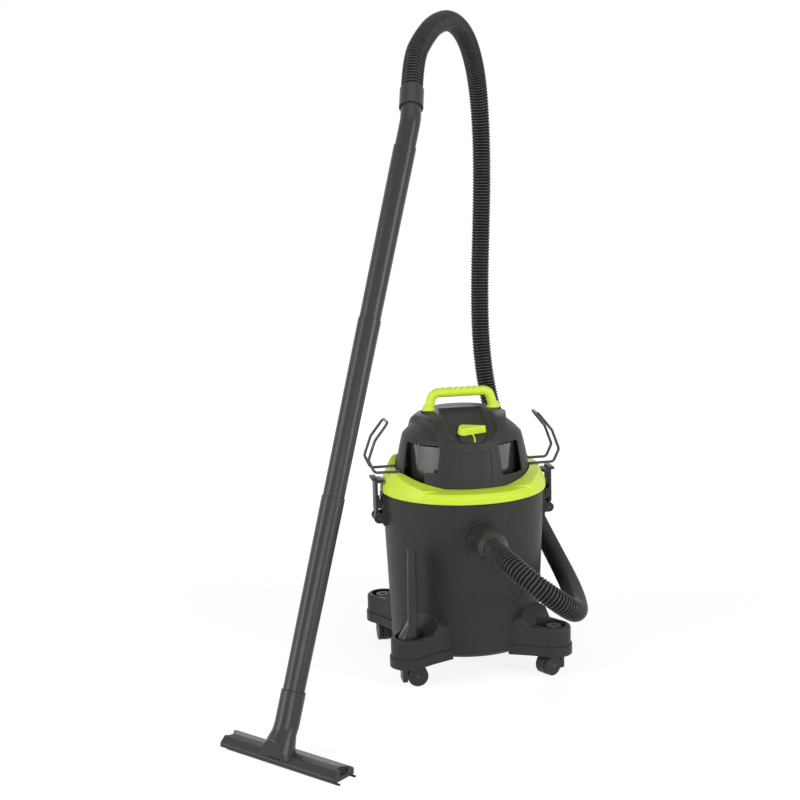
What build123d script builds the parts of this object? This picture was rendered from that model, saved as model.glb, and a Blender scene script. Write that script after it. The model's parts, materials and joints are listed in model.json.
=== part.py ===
from build123d import *
import os
from math import cos, radians, sin, tan

# A shop vacuum on four casters with its hose, wand and floor nozzle, in millimetres, +Z up.
# The origin is on the tank's axis at floor level, and the hose inlet faces -Y.

# Clearances
RUN_GAP = 0.05          # radial, turning and sliding fits
PUSH_GAP = 0.10         # radial, joints pushed together by hand
FACE_GAP = 0.30         # curved faces that stand side by side

# Tank
TANK_TOP_Z = 332.0
TANK_BASE_Z = 40.0
TANK_TOP_R = 151.5
TANK_BASE_R = TANK_TOP_R - 12.5
TANK_EDGE = 6.0
TANK_WALL = 3.0
RIM_WIDTH = 9.0
RIM_HEIGHT = 8.0
PAD_HALF_WIDTH = 44.0
PAD_PROUD = 1.5
PAD_TOP_Z = 326.0
LABEL_LOW_Z = 138.0
LABEL_HIGH_Z = 210.0
LABEL_HALF_WIDTH = 82.0
LABEL_DEPTH = 0.8

# Hose inlet
INLET_Z = 272.0
PORT_FLANGE_R = 29.0
PORT_FACE_Y = -TANK_TOP_R - 8.5
PORT_SLEEVE_R = 23.5
PORT_BORE_R = 20.5
PORT_INNER_Y = -TANK_TOP_R + 19.5
PORT_SLOTS = 3
CONNECTOR_R = 26.0
CONNECTOR_NECK_R = 23.5
CONNECTOR_LENGTH = 52.0
CONNECTOR_LUG = 3.0
CUFF_R = 26.6
CUFF_LENGTH = 40.0
CUFF_LAP = 6.0

# Hose
HOSE_R = 19.0
HOSE_BORE_R = 16.0
HOSE_RIBS = 200
HOSE_RIB_DEPTH = 1.5
HOSE_STRETCHES = 20
HOSE_RIB_SHAPE = ((0.0, 1.0), (0.2, 0.0), (0.55, 0.0), (0.75, 1.0))     # share of pitch, depth
HOSE_END_RUN = 68.0
HOSE_BEND_SHARE = 0.45

# Feet and their caster sockets
FOOT_BOTTOM_Z = 38.0
FOOT_HEEL_Z = 123.0
FOOT_TOE_Z = 91.0
FOOT_SIDE_Z = 82.0
FOOT_HEEL_RUN = 20.0
FOOT_ROUND = 6.0
FOOT_HALF_WIDTH = 54.0
FOOT_WAIST_R = TANK_BASE_R + 27.0
FOOT_WAIST_HALF = 38.0
FOOT_TOE_R = 31.0
FOOT_CENTRE_R = TANK_BASE_R + 53.0
FOOT_BAND_HEIGHT = 18.0
FOOT_BAND_PROUD = 2.5
CUP_CENTRE_R = FOOT_CENTRE_R - 6.0
CUP_RADIAL = 29.0
CUP_ACROSS = 25.0
CUP_FLOOR_Z = 54.0
POST_BASE_R = 14.6
POST_TIP_R = 13.6
POST_HEIGHT = 35.0
POST_DIMPLE_R = 5.0
FOOT_SCREW_R = 2.5
FOOT_SCREW_HEAD_R = 5.0
FOOT_SCREW_HEAD = 3.0
FOOT_SCREW_REACH = 16.0
FOOT_SCREW_SPREAD = 15.0
FOOT_SCREW_Z = 86.0

# Crevice tool on one foot's post
TOOL_FOOT = "front_left"
TOOL_TURN = -10.0
TOOL_SOCKET_R = 18.5
TOOL_SOCKET_TOP_Z = 88.0
TOOL_NECK_Z = 118.0
TOOL_TOP_Z = 257.0
TOOL_NECK_THICK = 18.0
TOOL_NECK_HALF_DEPTH = 17.0
TOOL_TIP_THICK = 15.5
TOOL_TIP_HALF_DEPTH = 15.0
TOOL_CORNER = 6.0
TOOL_WALL = 2.5
TOOL_SLANT = 14.0

# Casters
WHEEL_R = 18.6
WHEEL_WIDTH = 9.0
WHEEL_RIM = 1.5
CASTER_TRAIL = 15.0
CASTER_WEB = 12.0
CASTER_CAP_Z = 36.2
CASTER_BACK = 9.0
CASTER_BACK_WIDTH = 28.0
STEM_R = 5.0
STEM_TOP_Z = 70.0
STEM_COLLAR_R = 9.0
STEM_ROOT = 2.0
HOOD_LIFT = 1.2
AXLE_R = 3.0

# Head: deck, collar and seal
GASKET_THICK = 2.0
GASKET_INNER_R = TANK_TOP_R - 8.5
GASKET_OUTER_R = TANK_TOP_R - 1.5
DECK_THICK = 4.0
DECK_R = TANK_TOP_R
INTAKE_R = 26.0
SKIRT_DROP = 9.0
SKIRT_GAP = 0.8
COLLAR_R = DECK_R + SKIRT_GAP + 2.7
COLLAR_LIP = 2.0
COLLAR_TOP_Z = 351.0
COLLAR_ROUND = 4.5
SHOULDER_TOP_Z = 388.0
SHOULDER_SHAPE = ((0.10, 0.28), (0.28, 0.66), (0.40, 0.92), (0.50, 1.0))
SHOULDER_CREST = (                      # place from front to back, rise over the collar's top
    (-116.0, -1.0), (-97.0, 5.0), (-82.0, 8.5), (-60.0, 14.0), (-43.0, 17.0),
    (27.0, 18.0), (45.0, 35.0), (62.0, 35.0), (110.0, -1.0),
)
LATCH_NOTCH_DEPTH = 8.0
LATCH_NOTCH_DROP = 4.5
LATCH_NOTCH_ROOM = 1.0
LATCH_NOTCH_SIDE = 4.0
SLIT_ANGLES = (-121.0, -113.0, -64.0)
SLIT_WIDTH = 1.2
SLIT_DEPTH = 2.0
SLIT_LOW_Z = 341.0
DECK_SCREW_CIRCLE_R = DECK_R - 17.5
DECK_SCREW_R = 2.5
DECK_SCREW_HEAD_R = 4.5
DECK_SCREW_HEAD = 2.5
DECK_SCREW_REACH = 10.0

# Motor cover
DOME_BASE_R = DECK_R - 26.0
DOME_WAIST_R = DOME_BASE_R - 1.5
DOME_WAIST_Z = 368.0
DOME_TOP_Z = 477.0
DOME_SIDE_IN = 5.4
DOME_SIDE_UP = 34.0
DOME_SHOULDER_IN = 12.5
DOME_SHOULDER_DOWN = 45.0
DOME_CROWN_IN = 21.0
DOME_CROWN_DOWN = 27.0
DOME_BROW_IN = 40.0
DOME_BROW_DOWN = 8.0
DOME_TOP_IN = 60.0
DOME_FLANK_DROP = 9.0
BRIDGE_FRONT_HALF = 56.0
BRIDGE_BACK_HALF = 90.0
BRIDGE_SPREAD_Y = 20.0
DOME_WALL = 3.0
POCKET_TILT = 19.0
POCKET_HALF_WIDTH = 41.0
POCKET_FLARE = 0.42
POCKET_BACK_RUN = 108.0
POCKET_FRONT_RUN = 70.0
POCKET_DEPTH = 60.0
POCKET_CORNER = 15.0
BOSS_R = 14.0
WINDOW_LEFT_ANGLE = 53.5
WINDOW_RIGHT_ANGLE = 37.0
WINDOW_REAR_ANGLE = 50.0
WINDOW_LEFT_HALF_WIDTH = 41.0
WINDOW_RIGHT_HALF_WIDTH = 27.5
WINDOW_REAR_HALF_WIDTH = 38.0
WINDOW_LOW_Z = 356.0
WINDOW_RIGHT_LOW_Z = 370.0
WINDOW_HIGH_Z = 426.0
WINDOW_STEP_WIDTH = 25.0
WINDOW_STEP_HEIGHT = 22.0
WINDOW_CORNER = 5.0
PLATE_HALF_WIDTH = 29.0
PLATE_LOW_Z = 360.0
PLATE_HIGH_Z = 414.0
PLATE_DEPTH = 1.5
DRUM_R = DOME_BASE_R - 19.5
DRUM_WALL = 2.5
DRUM_TOP_Z = 422.0
DRUM_SLOTS = 7
DRUM_SLOT_WIDTH = 4.0
DRUM_SLOT_PITCH = 9.0

# Blower outlet and cord gland at the back of the head
BLOWER_Z = 379.0
BLOWER_R = 21.0
BLOWER_BORE_R = 17.6
BLOWER_END_Y = DOME_BASE_R + 22.5
GLAND_ANGLE = 111.0
GLAND_Z = 379.0
GLAND_R = 8.0
GLAND_NUT_R = 11.0
GLAND_PROUD = 14.0
GLAND_BORE_R = 4.0

# Carrying handle
HANDLE_HALF_FOOT = DOME_WAIST_R - 62.0
HANDLE_HALF_BAR = HANDLE_HALF_FOOT - 9.0
HANDLE_BAR_Z = 508.5
HANDLE_BAR_R = 8.8
HANDLE_CORNER_R = 15.0
HANDLE_FLARE_R = 12.5
HANDLE_FLARE_HEIGHT = 10.0
HANDLE_RIDGES = 6
HANDLE_RIDGE_PITCH = 12.0
HANDLE_RIDGE_R = 3.2
HANDLE_RIDGE_LENGTH = 15.0
HANDLE_RIDGE_PROUD = 0.8

# Cord hooks
HOOK_WIRE_R = 2.6
HOOK_HALF_WIDTH = 25.0
HOOK_LEG_Z = 370.0
HOOK_ROOT_X = DOME_WAIST_R - 1.4
HOOK_ELBOW_X = COLLAR_R + 15.0
HOOK_BULGE_X = COLLAR_R + 26.0
HOOK_BULGE_Z = 394.0
HOOK_NECK_X = COLLAR_R + 13.0
HOOK_NECK_Z = 430.0
HOOK_TIP_X = COLLAR_R - 12.0
HOOK_TIP_Z = 462.0
HOOK_BEND_R = 9.0

# Switch and knob
KNOB_Y = -DOME_BASE_R + 40.5
KNOB_Z = 440.0
KNOB_SKIRT_R = 28.0
KNOB_SKIRT_TOP_R = 25.0
KNOB_SKIRT_HEIGHT = 7.0
KNOB_SHAFT_R = 3.0
KNOB_SHAFT_LENGTH = 14.0
GRIP_WIDE_R = 11.0
GRIP_WIDE_X = -15.5
GRIP_TIP_R = 3.5
GRIP_TIP_X = 23.0
GRIP_HEIGHT = 13.0
GRIP_TAPER = 10.0
TICK_WIDTH = 3.0
TICK_DEPTH = 3.0
SWITCH_SIDE = 26.0
SWITCH_HEIGHT = 16.0

# Latches
LATCH_HINGE_X = COLLAR_R + 8.0
LATCH_HINGE_Z = 281.0
LATCH_HALF_WIDTH = 17.0
LATCH_PLATE = 5.0
LATCH_PLATE_X = LATCH_HINGE_X + 0.5
LATCH_TOP_Z = 358.0
LATCH_NECK_Z = 292.5
LATCH_BARREL_R = 7.5
LATCH_BARREL_HALF = 12.5
LATCH_NOSE_X = COLLAR_R - 2.4
LATCH_NOSE_Z = 348.0
LATCH_NOSE_HEIGHT = 6.0
LATCH_TAB = 6.0
LATCH_CHEEK_X = COLLAR_R + 1.0
LATCH_CHEEK_WIDTH = 2.5
LATCH_CHEEK_LOW_Z = 300.0
LATCH_CHEEK_HIGH_Z = 318.0
BRACKET_EAR = 6.7
BRACKET_EAR_R = 9.0
BRACKET_PAD_TOP_Z = TANK_TOP_Z - 6.0
BRACKET_PAD_X = COLLAR_R
PIN_R = 2.5

# Motor, fan, filter and float
FAN_HOUSING_R = 68.0
FAN_HOUSING_WALL = 2.5
FAN_HOUSING_HEIGHT = 28.0
FAN_R = 58.0
FAN_BLADES = 8
FAN_BLADE_HEIGHT = 10.0
FAN_BLADE_THICK = 2.0
FAN_PLATE = 2.0
FAN_HUB_R = 12.0
FAN_LOW = 7.0
FAN_BLADE_ROOT = 1.0
MOTOR_R = 46.0
MOTOR_HEIGHT = 54.0
SHAFT_R = 4.0
CAGE_R = 50.0
CAGE_WALL = 2.5
CAGE_DROP = 98.0
CAGE_FLOOR = 4.0
CAGE_WINDOWS = 6
CAGE_WINDOW_WIDTH = 30.0
CAGE_BAND = 16.0
FILTER_WALL = 13.0
FILTER_CAP = 6.0
FLOAT_R = 34.0
FLOAT_HEIGHT = 34.0
FLOAT_WALL = 2.5

# Wand: three tubes, a bent tube and the floor nozzle
NOZZLE_X = -387.0
NOZZLE_Y = -415.7
NOZZLE_OFFSET = 6.0
WAND_HEADING = 41.67
WAND_LEAN = 20.84
NOZZLE_LENGTH = 246.0
NOZZLE_HALF_DEPTH = 23.0
NOZZLE_HEIGHT = 20.0
NOZZLE_LIFT = 2.5
NOZZLE_WALL = 3.0
NOZZLE_FRONT_Z = 9.0
NOZZLE_BACK_Z = 13.0
NOZZLE_SCOOP_R = 9.0
NOZZLE_BROW_SHARE = 0.55
NOZZLE_BROW_DROP = 2.0
NOZZLE_RUMP_SHARE = 0.6
NOZZLE_RUMP_DROP = 1.0
STRIP_THICK = 3.0
STRIP_TAB = 6.0
NECK_R = 20.0
NECK_BORE_R = 15.2
NECK_FLARE_R = 30.0
NECK_LOW_LEAN = 30.0
NECK_ELBOW_RUN = 13.3
NECK_ELBOW_Z = 56.3
NECK_UPPER = 53.0
NECK_LAP = 31.0
TUBE_LENGTH = 345.0
TUBE_LAP = 47.0
TUBE_SPIGOT_R = 17.2
TUBE_LOW_R = 17.8
TUBE_TOP_R = 19.2
TUBE_BORE_R = 15.2
BEND_R = 17.5
BEND_STRAIGHT = 47.5
BEND_CORNER_R = 60.0
BEND_TAIL = 38.5
BEND_LAP = 15.0
WAND_CUFF_R = 20.8
WAND_CUFF_LENGTH = 38.0

# The hose leaves the bent tube along this direction
HOSE_END_DIRECTION = Vector(0.16, 0.55, 0.82).normalized()

# The hose's free route between its two straight ends, laid out for this tank radius
HOSE_ROUTE_TANK_R = 151.5
HOSE_ROUTE = [
    (37, -361, 241),
    (89, -361, 199),
    (125, -314, 170),
    (152, -228, 154),
    (174, -132, 148),
    (189, -36, 150),
    (194, 56, 167),
    (183, 134, 212),
    (158, 182, 288),
    (128, 210, 374),
    (106, 233, 467),
    (100, 257, 570),
    (105, 278, 681),
    (114, 295, 792),
    (120, 303, 902),
    (118, 297, 1010),
    (103, 265, 1105),
    (70, 203, 1169),
    (22, 120, 1193),
    (-27, 33, 1176),
    (-62, -36, 1145),
]

# Which way each foot points, and which way its caster trails
FEET = {
    "front_left": (-135.0, 0.0),
    "front_right": (-45.0, 210.0),
    "rear_left": (135.0, -90.0),
    "rear_right": (45.0, 70.0),
}

# Heights and places worked out from the values above
GASKET_Z = TANK_TOP_Z
DECK_Z = GASKET_Z + GASKET_THICK
HEAD_Z = DECK_Z + DECK_THICK
SKIRT_R = DECK_R + SKIRT_GAP
WHEEL_GAP = FACE_GAP
AXLE_Z = WHEEL_R
WHEEL_OFFSET = CASTER_WEB / 2 + WHEEL_GAP + WHEEL_WIDTH / 2
CONNECTOR_END_Y = PORT_FACE_Y - CONNECTOR_LENGTH
CUFF_END_Y = CONNECTOR_END_Y + CUFF_LAP - CUFF_LENGTH
KNOB_PLANE = Plane(
    origin=(0, KNOB_Y, KNOB_Z),
    x_dir=(1, 0, 0),
    z_dir=(0, -sin(radians(POCKET_TILT)), cos(radians(POCKET_TILT))),
)

nodes = {}


def tank_radius(z):
    share = (z - TANK_BASE_Z) / (TANK_TOP_Z - TANK_BASE_Z)
    return TANK_BASE_R + (TANK_TOP_R - TANK_BASE_R) * share


def turned(points):
    # A closed outline in radius and height, turned about the tank's axis
    outline = make_face(Plane.XZ * Polyline(*points, close=True))
    return revolve(outline, Axis.Z)


def ring(outer, inner, low, high):
    tall = high - low
    solid = Pos(0, 0, low) * Cylinder(outer, tall, align=(Align.CENTER, Align.CENTER, Align.MIN))
    return solid - Pos(0, 0, low) * Cylinder(inner, tall, align=(Align.CENTER, Align.CENTER, Align.MIN))


def cone_bar(plane, low_r, high_r, low, high):
    # A round bar along a plane's normal whose radius changes evenly
    length = high - low
    middle = (low + high) / 2
    if abs(low_r - high_r) < 1e-9:
        return plane * Pos(0, 0, middle) * Cylinder(low_r, length)
    return plane * Pos(0, 0, middle) * Cone(low_r, high_r, length)


def around(angle, radius=0.0, z=0.0):
    # A frame whose X points outwards at the given angle
    return Rot(0, 0, angle) * Pos(radius, 0, z)


def span_box(x0, x1, y0, y1, z0, z1):
    box = Box(x1 - x0, y1 - y0, z1 - z0)
    return Pos((x0 + x1) / 2, (y0 + y1) / 2, (z0 + z1) / 2) * box


def tank_cone(grow, low, high):
    return turned(
        [(0, low), (tank_radius(low) + grow, low), (tank_radius(high) + grow, high), (0, high)]
    )


def foot_screw_frames(angle):
    # Where a foot's two screws pass through the tank's wall, X outwards
    wall = tank_radius(FOOT_SCREW_Z) - TANK_WALL
    return [around(angle + side * FOOT_SCREW_SPREAD, wall, FOOT_SCREW_Z) for side in (-1, 1)]


def across_x(radius, start, length):
    # A round bar along X
    return Pos(start + length / 2, 0, 0) * Rot(0, 90, 0) * Cylinder(radius, length)


def along_y(radius, y0, y1, x=0.0, z=0.0):
    # A round bar along Y
    return Pos(x, (y0 + y1) / 2, z) * Rot(90, 0, 0) * Cylinder(radius, abs(y1 - y0))


# Tank with its rim, inlet pad and label recess

def make_tank():
    edge_z = TANK_BASE_Z + TANK_EDGE
    outer = turned([
        (0, TANK_BASE_Z),
        (tank_radius(TANK_BASE_Z) - TANK_EDGE, TANK_BASE_Z),
        (tank_radius(edge_z), edge_z),
        (TANK_TOP_R, TANK_TOP_Z),
        (0, TANK_TOP_Z),
    ])
    rim_z = TANK_TOP_Z - RIM_HEIGHT
    floor_z = TANK_BASE_Z + TANK_WALL
    under_rim_z = rim_z - RIM_WIDTH
    inner = turned([
        (0, floor_z),
        (tank_radius(TANK_BASE_Z) - TANK_EDGE - TANK_WALL, floor_z),
        (tank_radius(edge_z) - TANK_WALL, floor_z + TANK_EDGE),
        (tank_radius(under_rim_z) - TANK_WALL, under_rim_z),
        (TANK_TOP_R - RIM_WIDTH, rim_z),
        (TANK_TOP_R - RIM_WIDTH, TANK_TOP_Z),
        (0, TANK_TOP_Z),
    ])
    pad_low_z = INLET_Z - PAD_HALF_WIDTH
    pad_face = Pos(0, INLET_Z) * Circle(PAD_HALF_WIDTH)
    pad_middle_z = (INLET_Z + PAD_TOP_Z) / 2
    pad_face += Pos(0, pad_middle_z) * Rectangle(2 * PAD_HALF_WIDTH, PAD_TOP_Z - INLET_Z)
    pad = extrude(Plane.XZ * pad_face, TANK_TOP_R + PAD_PROUD)
    pad &= tank_cone(PAD_PROUD, pad_low_z, PAD_TOP_Z)
    label = tank_cone(PAD_PROUD, LABEL_LOW_Z, LABEL_HIGH_Z)
    label -= tank_cone(-LABEL_DEPTH, LABEL_LOW_Z, LABEL_HIGH_Z)
    label &= span_box(
        -LABEL_HALF_WIDTH, LABEL_HALF_WIDTH, -TANK_TOP_R, 0, LABEL_LOW_Z, LABEL_HIGH_Z
    )
    shell = outer + pad - label
    shell -= inner
    shell -= along_y(PORT_SLEEVE_R + PUSH_GAP, -TANK_TOP_R - PAD_PROUD, 0, z=INLET_Z)
    for angle, _ in FEET.values():
        for frame in foot_screw_frames(angle):
            shell -= frame * across_x(FOOT_SCREW_R + PUSH_GAP, -TANK_WALL, 3 * TANK_WALL)
    nodes["tank_shell"] = shell


# Inlet port, connector and cuff, all on one axis along Y

def make_inlet():
    seat = tank_cone(PAD_PROUD, INLET_Z - PORT_FLANGE_R, INLET_Z + PORT_FLANGE_R)
    port = along_y(PORT_FLANGE_R, PORT_FACE_Y, PORT_INNER_Y, z=INLET_Z) - seat
    port += along_y(PORT_SLEEVE_R, PORT_FACE_Y, PORT_INNER_Y, z=INLET_Z)
    port -= along_y(PORT_BORE_R, PORT_FACE_Y, PORT_INNER_Y, z=INLET_Z)
    slot = Pos(0, 0, PORT_FLANGE_R) * Box(2 * CONNECTOR_LUG, 2 * CONNECTOR_LUG, 2 * CONNECTOR_LUG)
    for turn in range(PORT_SLOTS):
        port -= Pos(0, PORT_FACE_Y, INLET_Z) * Rot(0, 360 / PORT_SLOTS * turn, 0) * slot
    nodes["inlet_port"] = port

    plane = Plane(origin=(0, PORT_FACE_Y, INLET_Z), x_dir=(1, 0, 0), z_dir=(0, -1, 0))
    spigot = PORT_FACE_Y - PORT_INNER_Y
    taper = CONNECTOR_LENGTH / 4
    body = cone_bar(plane, CONNECTOR_R, CONNECTOR_R, 0, taper)
    body += cone_bar(plane, CONNECTOR_R, CONNECTOR_NECK_R, taper, 2 * taper)
    body += cone_bar(plane, CONNECTOR_NECK_R, CONNECTOR_NECK_R, 2 * taper, CONNECTOR_LENGTH)
    body += cone_bar(plane, PORT_BORE_R - PUSH_GAP, PORT_BORE_R - PUSH_GAP, spigot, 0)
    for side in (-1, 1):
        lug = Pos(side * CONNECTOR_R, 0, taper / 2) * Box(2 * CONNECTOR_LUG, 4 * CONNECTOR_LUG, taper)
        body += plane * lug
    body -= cone_bar(plane, HOSE_BORE_R, HOSE_BORE_R, spigot, CONNECTOR_LENGTH)
    nodes["hose_connector"] = body

    start = CONNECTOR_LENGTH - CUFF_LAP
    end = start + CUFF_LENGTH
    cuff = cone_bar(plane, CUFF_R, CUFF_R, start, end - CUFF_LENGTH / 4)
    cuff += cone_bar(plane, CUFF_R, HOSE_R + HOSE_RIB_DEPTH, end - CUFF_LENGTH / 4, end)
    socket_r = CONNECTOR_NECK_R + PUSH_GAP
    cuff -= cone_bar(plane, socket_r, socket_r, start, CONNECTOR_LENGTH)
    cuff -= cone_bar(plane, HOSE_BORE_R, HOSE_BORE_R, start, end)
    nodes["hose_cuff_inlet"] = cuff


# Feet with accessory cups, caster sockets and screws

def make_feet():
    screws = []
    for name, (angle, _) in FEET.items():
        inner_r = tank_radius(FOOT_BOTTOM_Z) - FOOT_SCREW_REACH
        plan = make_face(Polyline(
            (inner_r, -FOOT_HALF_WIDTH),
            (FOOT_WAIST_R, -FOOT_WAIST_HALF),
            (FOOT_CENTRE_R, -FOOT_TOE_R),
            (FOOT_CENTRE_R, FOOT_TOE_R),
            (FOOT_WAIST_R, FOOT_WAIST_HALF),
            (inner_r, FOOT_HALF_WIDTH),
            close=True,
        ))
        plan += Pos(FOOT_CENTRE_R, 0) * Circle(FOOT_TOE_R)
        block = Pos(0, 0, FOOT_BOTTOM_Z) * extrude(plan, FOOT_HEEL_Z - FOOT_BOTTOM_Z)
        heel = tank_radius(FOOT_HEEL_Z)
        slope_end = heel + FOOT_HEEL_RUN
        reach = FOOT_CENTRE_R + 2 * FOOT_TOE_R
        profile = make_face(Plane.XZ * Polyline(
            (inner_r, FOOT_BOTTOM_Z),
            (reach, FOOT_BOTTOM_Z),
            (reach, FOOT_TOE_Z),
            (slope_end, FOOT_TOE_Z),
            (heel, FOOT_HEEL_Z),
            (inner_r, FOOT_HEEL_Z),
            close=True,
        ))
        half = FOOT_HALF_WIDTH + FOOT_ROUND
        corners = [(-half, FOOT_SIDE_Z), (-half, FOOT_BOTTOM_Z), (half, FOOT_BOTTOM_Z), (half, FOOT_SIDE_Z)]
        arch = Polyline(*corners) + ThreePointArc(corners[0], (0, FOOT_HEEL_Z), corners[-1])
        block &= extrude(profile, half, both=True)
        block &= extrude(make_face(Plane.YZ * arch), reach)
        outer_edges = [
            edge for edge in block.edges()
            if edge.center().Z > FOOT_TOE_Z - FOOT_ROUND
            and edge.center().X > heel
            and edge.bounding_box().size.Y < 2 * FOOT_TOE_R + FOOT_ROUND
        ]
        block = fillet(outer_edges, FOOT_ROUND)
        band_plan = offset(plan, FOOT_BAND_PROUD, kind=Kind.INTERSECTION)
        block += Pos(0, 0, FOOT_BOTTOM_Z) * extrude(band_plan, FOOT_BAND_HEIGHT)
        depth = FOOT_HEEL_Z - CUP_FLOOR_Z
        block -= Pos(CUP_CENTRE_R, 0, CUP_FLOOR_Z) * extrude(Ellipse(CUP_RADIAL, CUP_ACROSS), depth)
        stand = Plane(origin=(FOOT_CENTRE_R, 0, CUP_FLOOR_Z))
        post = cone_bar(stand, POST_BASE_R, POST_TIP_R, 0, POST_HEIGHT)
        post -= Pos(FOOT_CENTRE_R, 0, CUP_FLOOR_Z + POST_HEIGHT) * Sphere(POST_DIMPLE_R)
        block += post
        socket = STEM_R + RUN_GAP
        block -= cone_bar(Plane(origin=(FOOT_CENTRE_R, 0, 0)), socket, socket, FOOT_BOTTOM_Z, STEM_TOP_Z)
        foot = around(angle) * block
        foot -= tank_cone(PUSH_GAP, FOOT_BOTTOM_Z, FOOT_HEEL_Z)
        for frame in foot_screw_frames(angle):
            foot -= frame * across_x(FOOT_SCREW_R + PUSH_GAP, 0, FOOT_SCREW_REACH)
            screw = frame * across_x(FOOT_SCREW_R, 0, FOOT_SCREW_REACH - TANK_WALL)
            screw += frame * across_x(FOOT_SCREW_HEAD_R, -FOOT_SCREW_HEAD - 2 * FACE_GAP, FOOT_SCREW_HEAD)
            screw += frame * across_x(FOOT_SCREW_R, -FOOT_SCREW_HEAD, FOOT_SCREW_HEAD)
            screws.append(screw)
        nodes["foot_" + name] = foot
    nodes["foot_screws"] = Compound(children=screws)


# Crevice tool, stored upright on the post of one foot

def tool_section(inset, z, thick, half_depth):
    # The flat blade's outline at one height, flush with one side of the socket
    flush = TOOL_SOCKET_R - inset
    wide = thick - 2 * inset
    outline = RectangleRounded(wide, 2 * (half_depth - inset), TOOL_CORNER - inset)
    return Pos(flush - wide / 2, 0, z) * outline


def tool_form(inset):
    radius = TOOL_SOCKET_R - inset
    form = cone_bar(Plane.XY, radius, radius, CUP_FLOOR_Z, TOOL_SOCKET_TOP_Z)
    neck = tool_section(inset, TOOL_NECK_Z, TOOL_NECK_THICK, TOOL_NECK_HALF_DEPTH)
    tip = tool_section(inset, TOOL_TOP_Z, TOOL_TIP_THICK, TOOL_TIP_HALF_DEPTH)
    form += loft([Pos(0, 0, TOOL_SOCKET_TOP_Z) * Circle(radius), neck])
    form += loft([neck, tip])
    return form


def make_crevice_tool():
    angle, _ = FEET[TOOL_FOOT]
    place = around(angle, FOOT_CENTRE_R) * Rot(0, 0, TOOL_TURN - angle)
    tool = tool_form(0) - tool_form(TOOL_WALL)
    far = TOOL_SOCKET_R
    slant = make_face(Plane.YZ * Polyline(
        (-far, TOOL_TOP_Z), (far, TOOL_TOP_Z - TOOL_SLANT), (far, TOOL_TOP_Z + far), (-far, TOOL_TOP_Z + far),
        close=True,
    ))
    tool -= extrude(slant, 2 * far, both=True)
    nodes["crevice_tool"] = place * tool


# Casters: a hood with its stem, an axle and two wheels that turn together

def make_casters():
    for name, (angle, trail_angle) in FEET.items():
        place = around(angle, FOOT_CENTRE_R) * Rot(0, 0, trail_angle - angle)
        hood = along_y(WHEEL_R + FACE_GAP, -CASTER_WEB / 2, CASTER_WEB / 2, x=CASTER_TRAIL, z=AXLE_Z)
        hood += span_box(
            -STEM_COLLAR_R, CASTER_TRAIL, -CASTER_WEB / 2, CASTER_WEB / 2, AXLE_Z, CASTER_CAP_Z
        )
        back_x = CASTER_TRAIL - WHEEL_R - FACE_GAP
        hood += span_box(
            back_x - CASTER_BACK, back_x, -CASTER_BACK_WIDTH / 2, CASTER_BACK_WIDTH / 2,
            AXLE_Z / 2, CASTER_CAP_Z,
        )
        collar_top_z = FOOT_BOTTOM_Z - FACE_GAP
        hood += cone_bar(Plane.XY, STEM_COLLAR_R, STEM_COLLAR_R, CASTER_CAP_Z - STEM_ROOT, collar_top_z)
        hood += cone_bar(Plane.XY, STEM_R, STEM_R, CASTER_CAP_Z - STEM_ROOT, STEM_TOP_Z - FACE_GAP)
        half_axle = WHEEL_OFFSET + WHEEL_WIDTH / 2
        hood &= span_box(
            -2 * WHEEL_R, 3 * WHEEL_R, -half_axle, half_axle, HOOD_LIFT, STEM_TOP_Z
        )
        hood -= along_y(AXLE_R + RUN_GAP, -CASTER_WEB, CASTER_WEB, x=CASTER_TRAIL, z=AXLE_Z)
        nodes["caster_hood_" + name] = place * hood
        axle = along_y(AXLE_R, -half_axle, half_axle, x=CASTER_TRAIL, z=AXLE_Z)
        nodes["caster_axle_" + name] = place * axle
        wheels = []
        for side in (-1, 1):
            wheel = Rot(90, 0, 0) * Cylinder(WHEEL_R, WHEEL_WIDTH)
            wheel = chamfer(wheel.edges().filter_by(GeomType.CIRCLE), WHEEL_RIM)
            wheel -= Rot(90, 0, 0) * Cylinder(AXLE_R + RUN_GAP, WHEEL_WIDTH)
            wheels.append(place * Pos(CASTER_TRAIL, side * WHEEL_OFFSET, AXLE_Z) * wheel)
        nodes["caster_wheels_" + name] = Compound(children=wheels)


# Latches hinged on brackets at the tank's two sides

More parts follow.
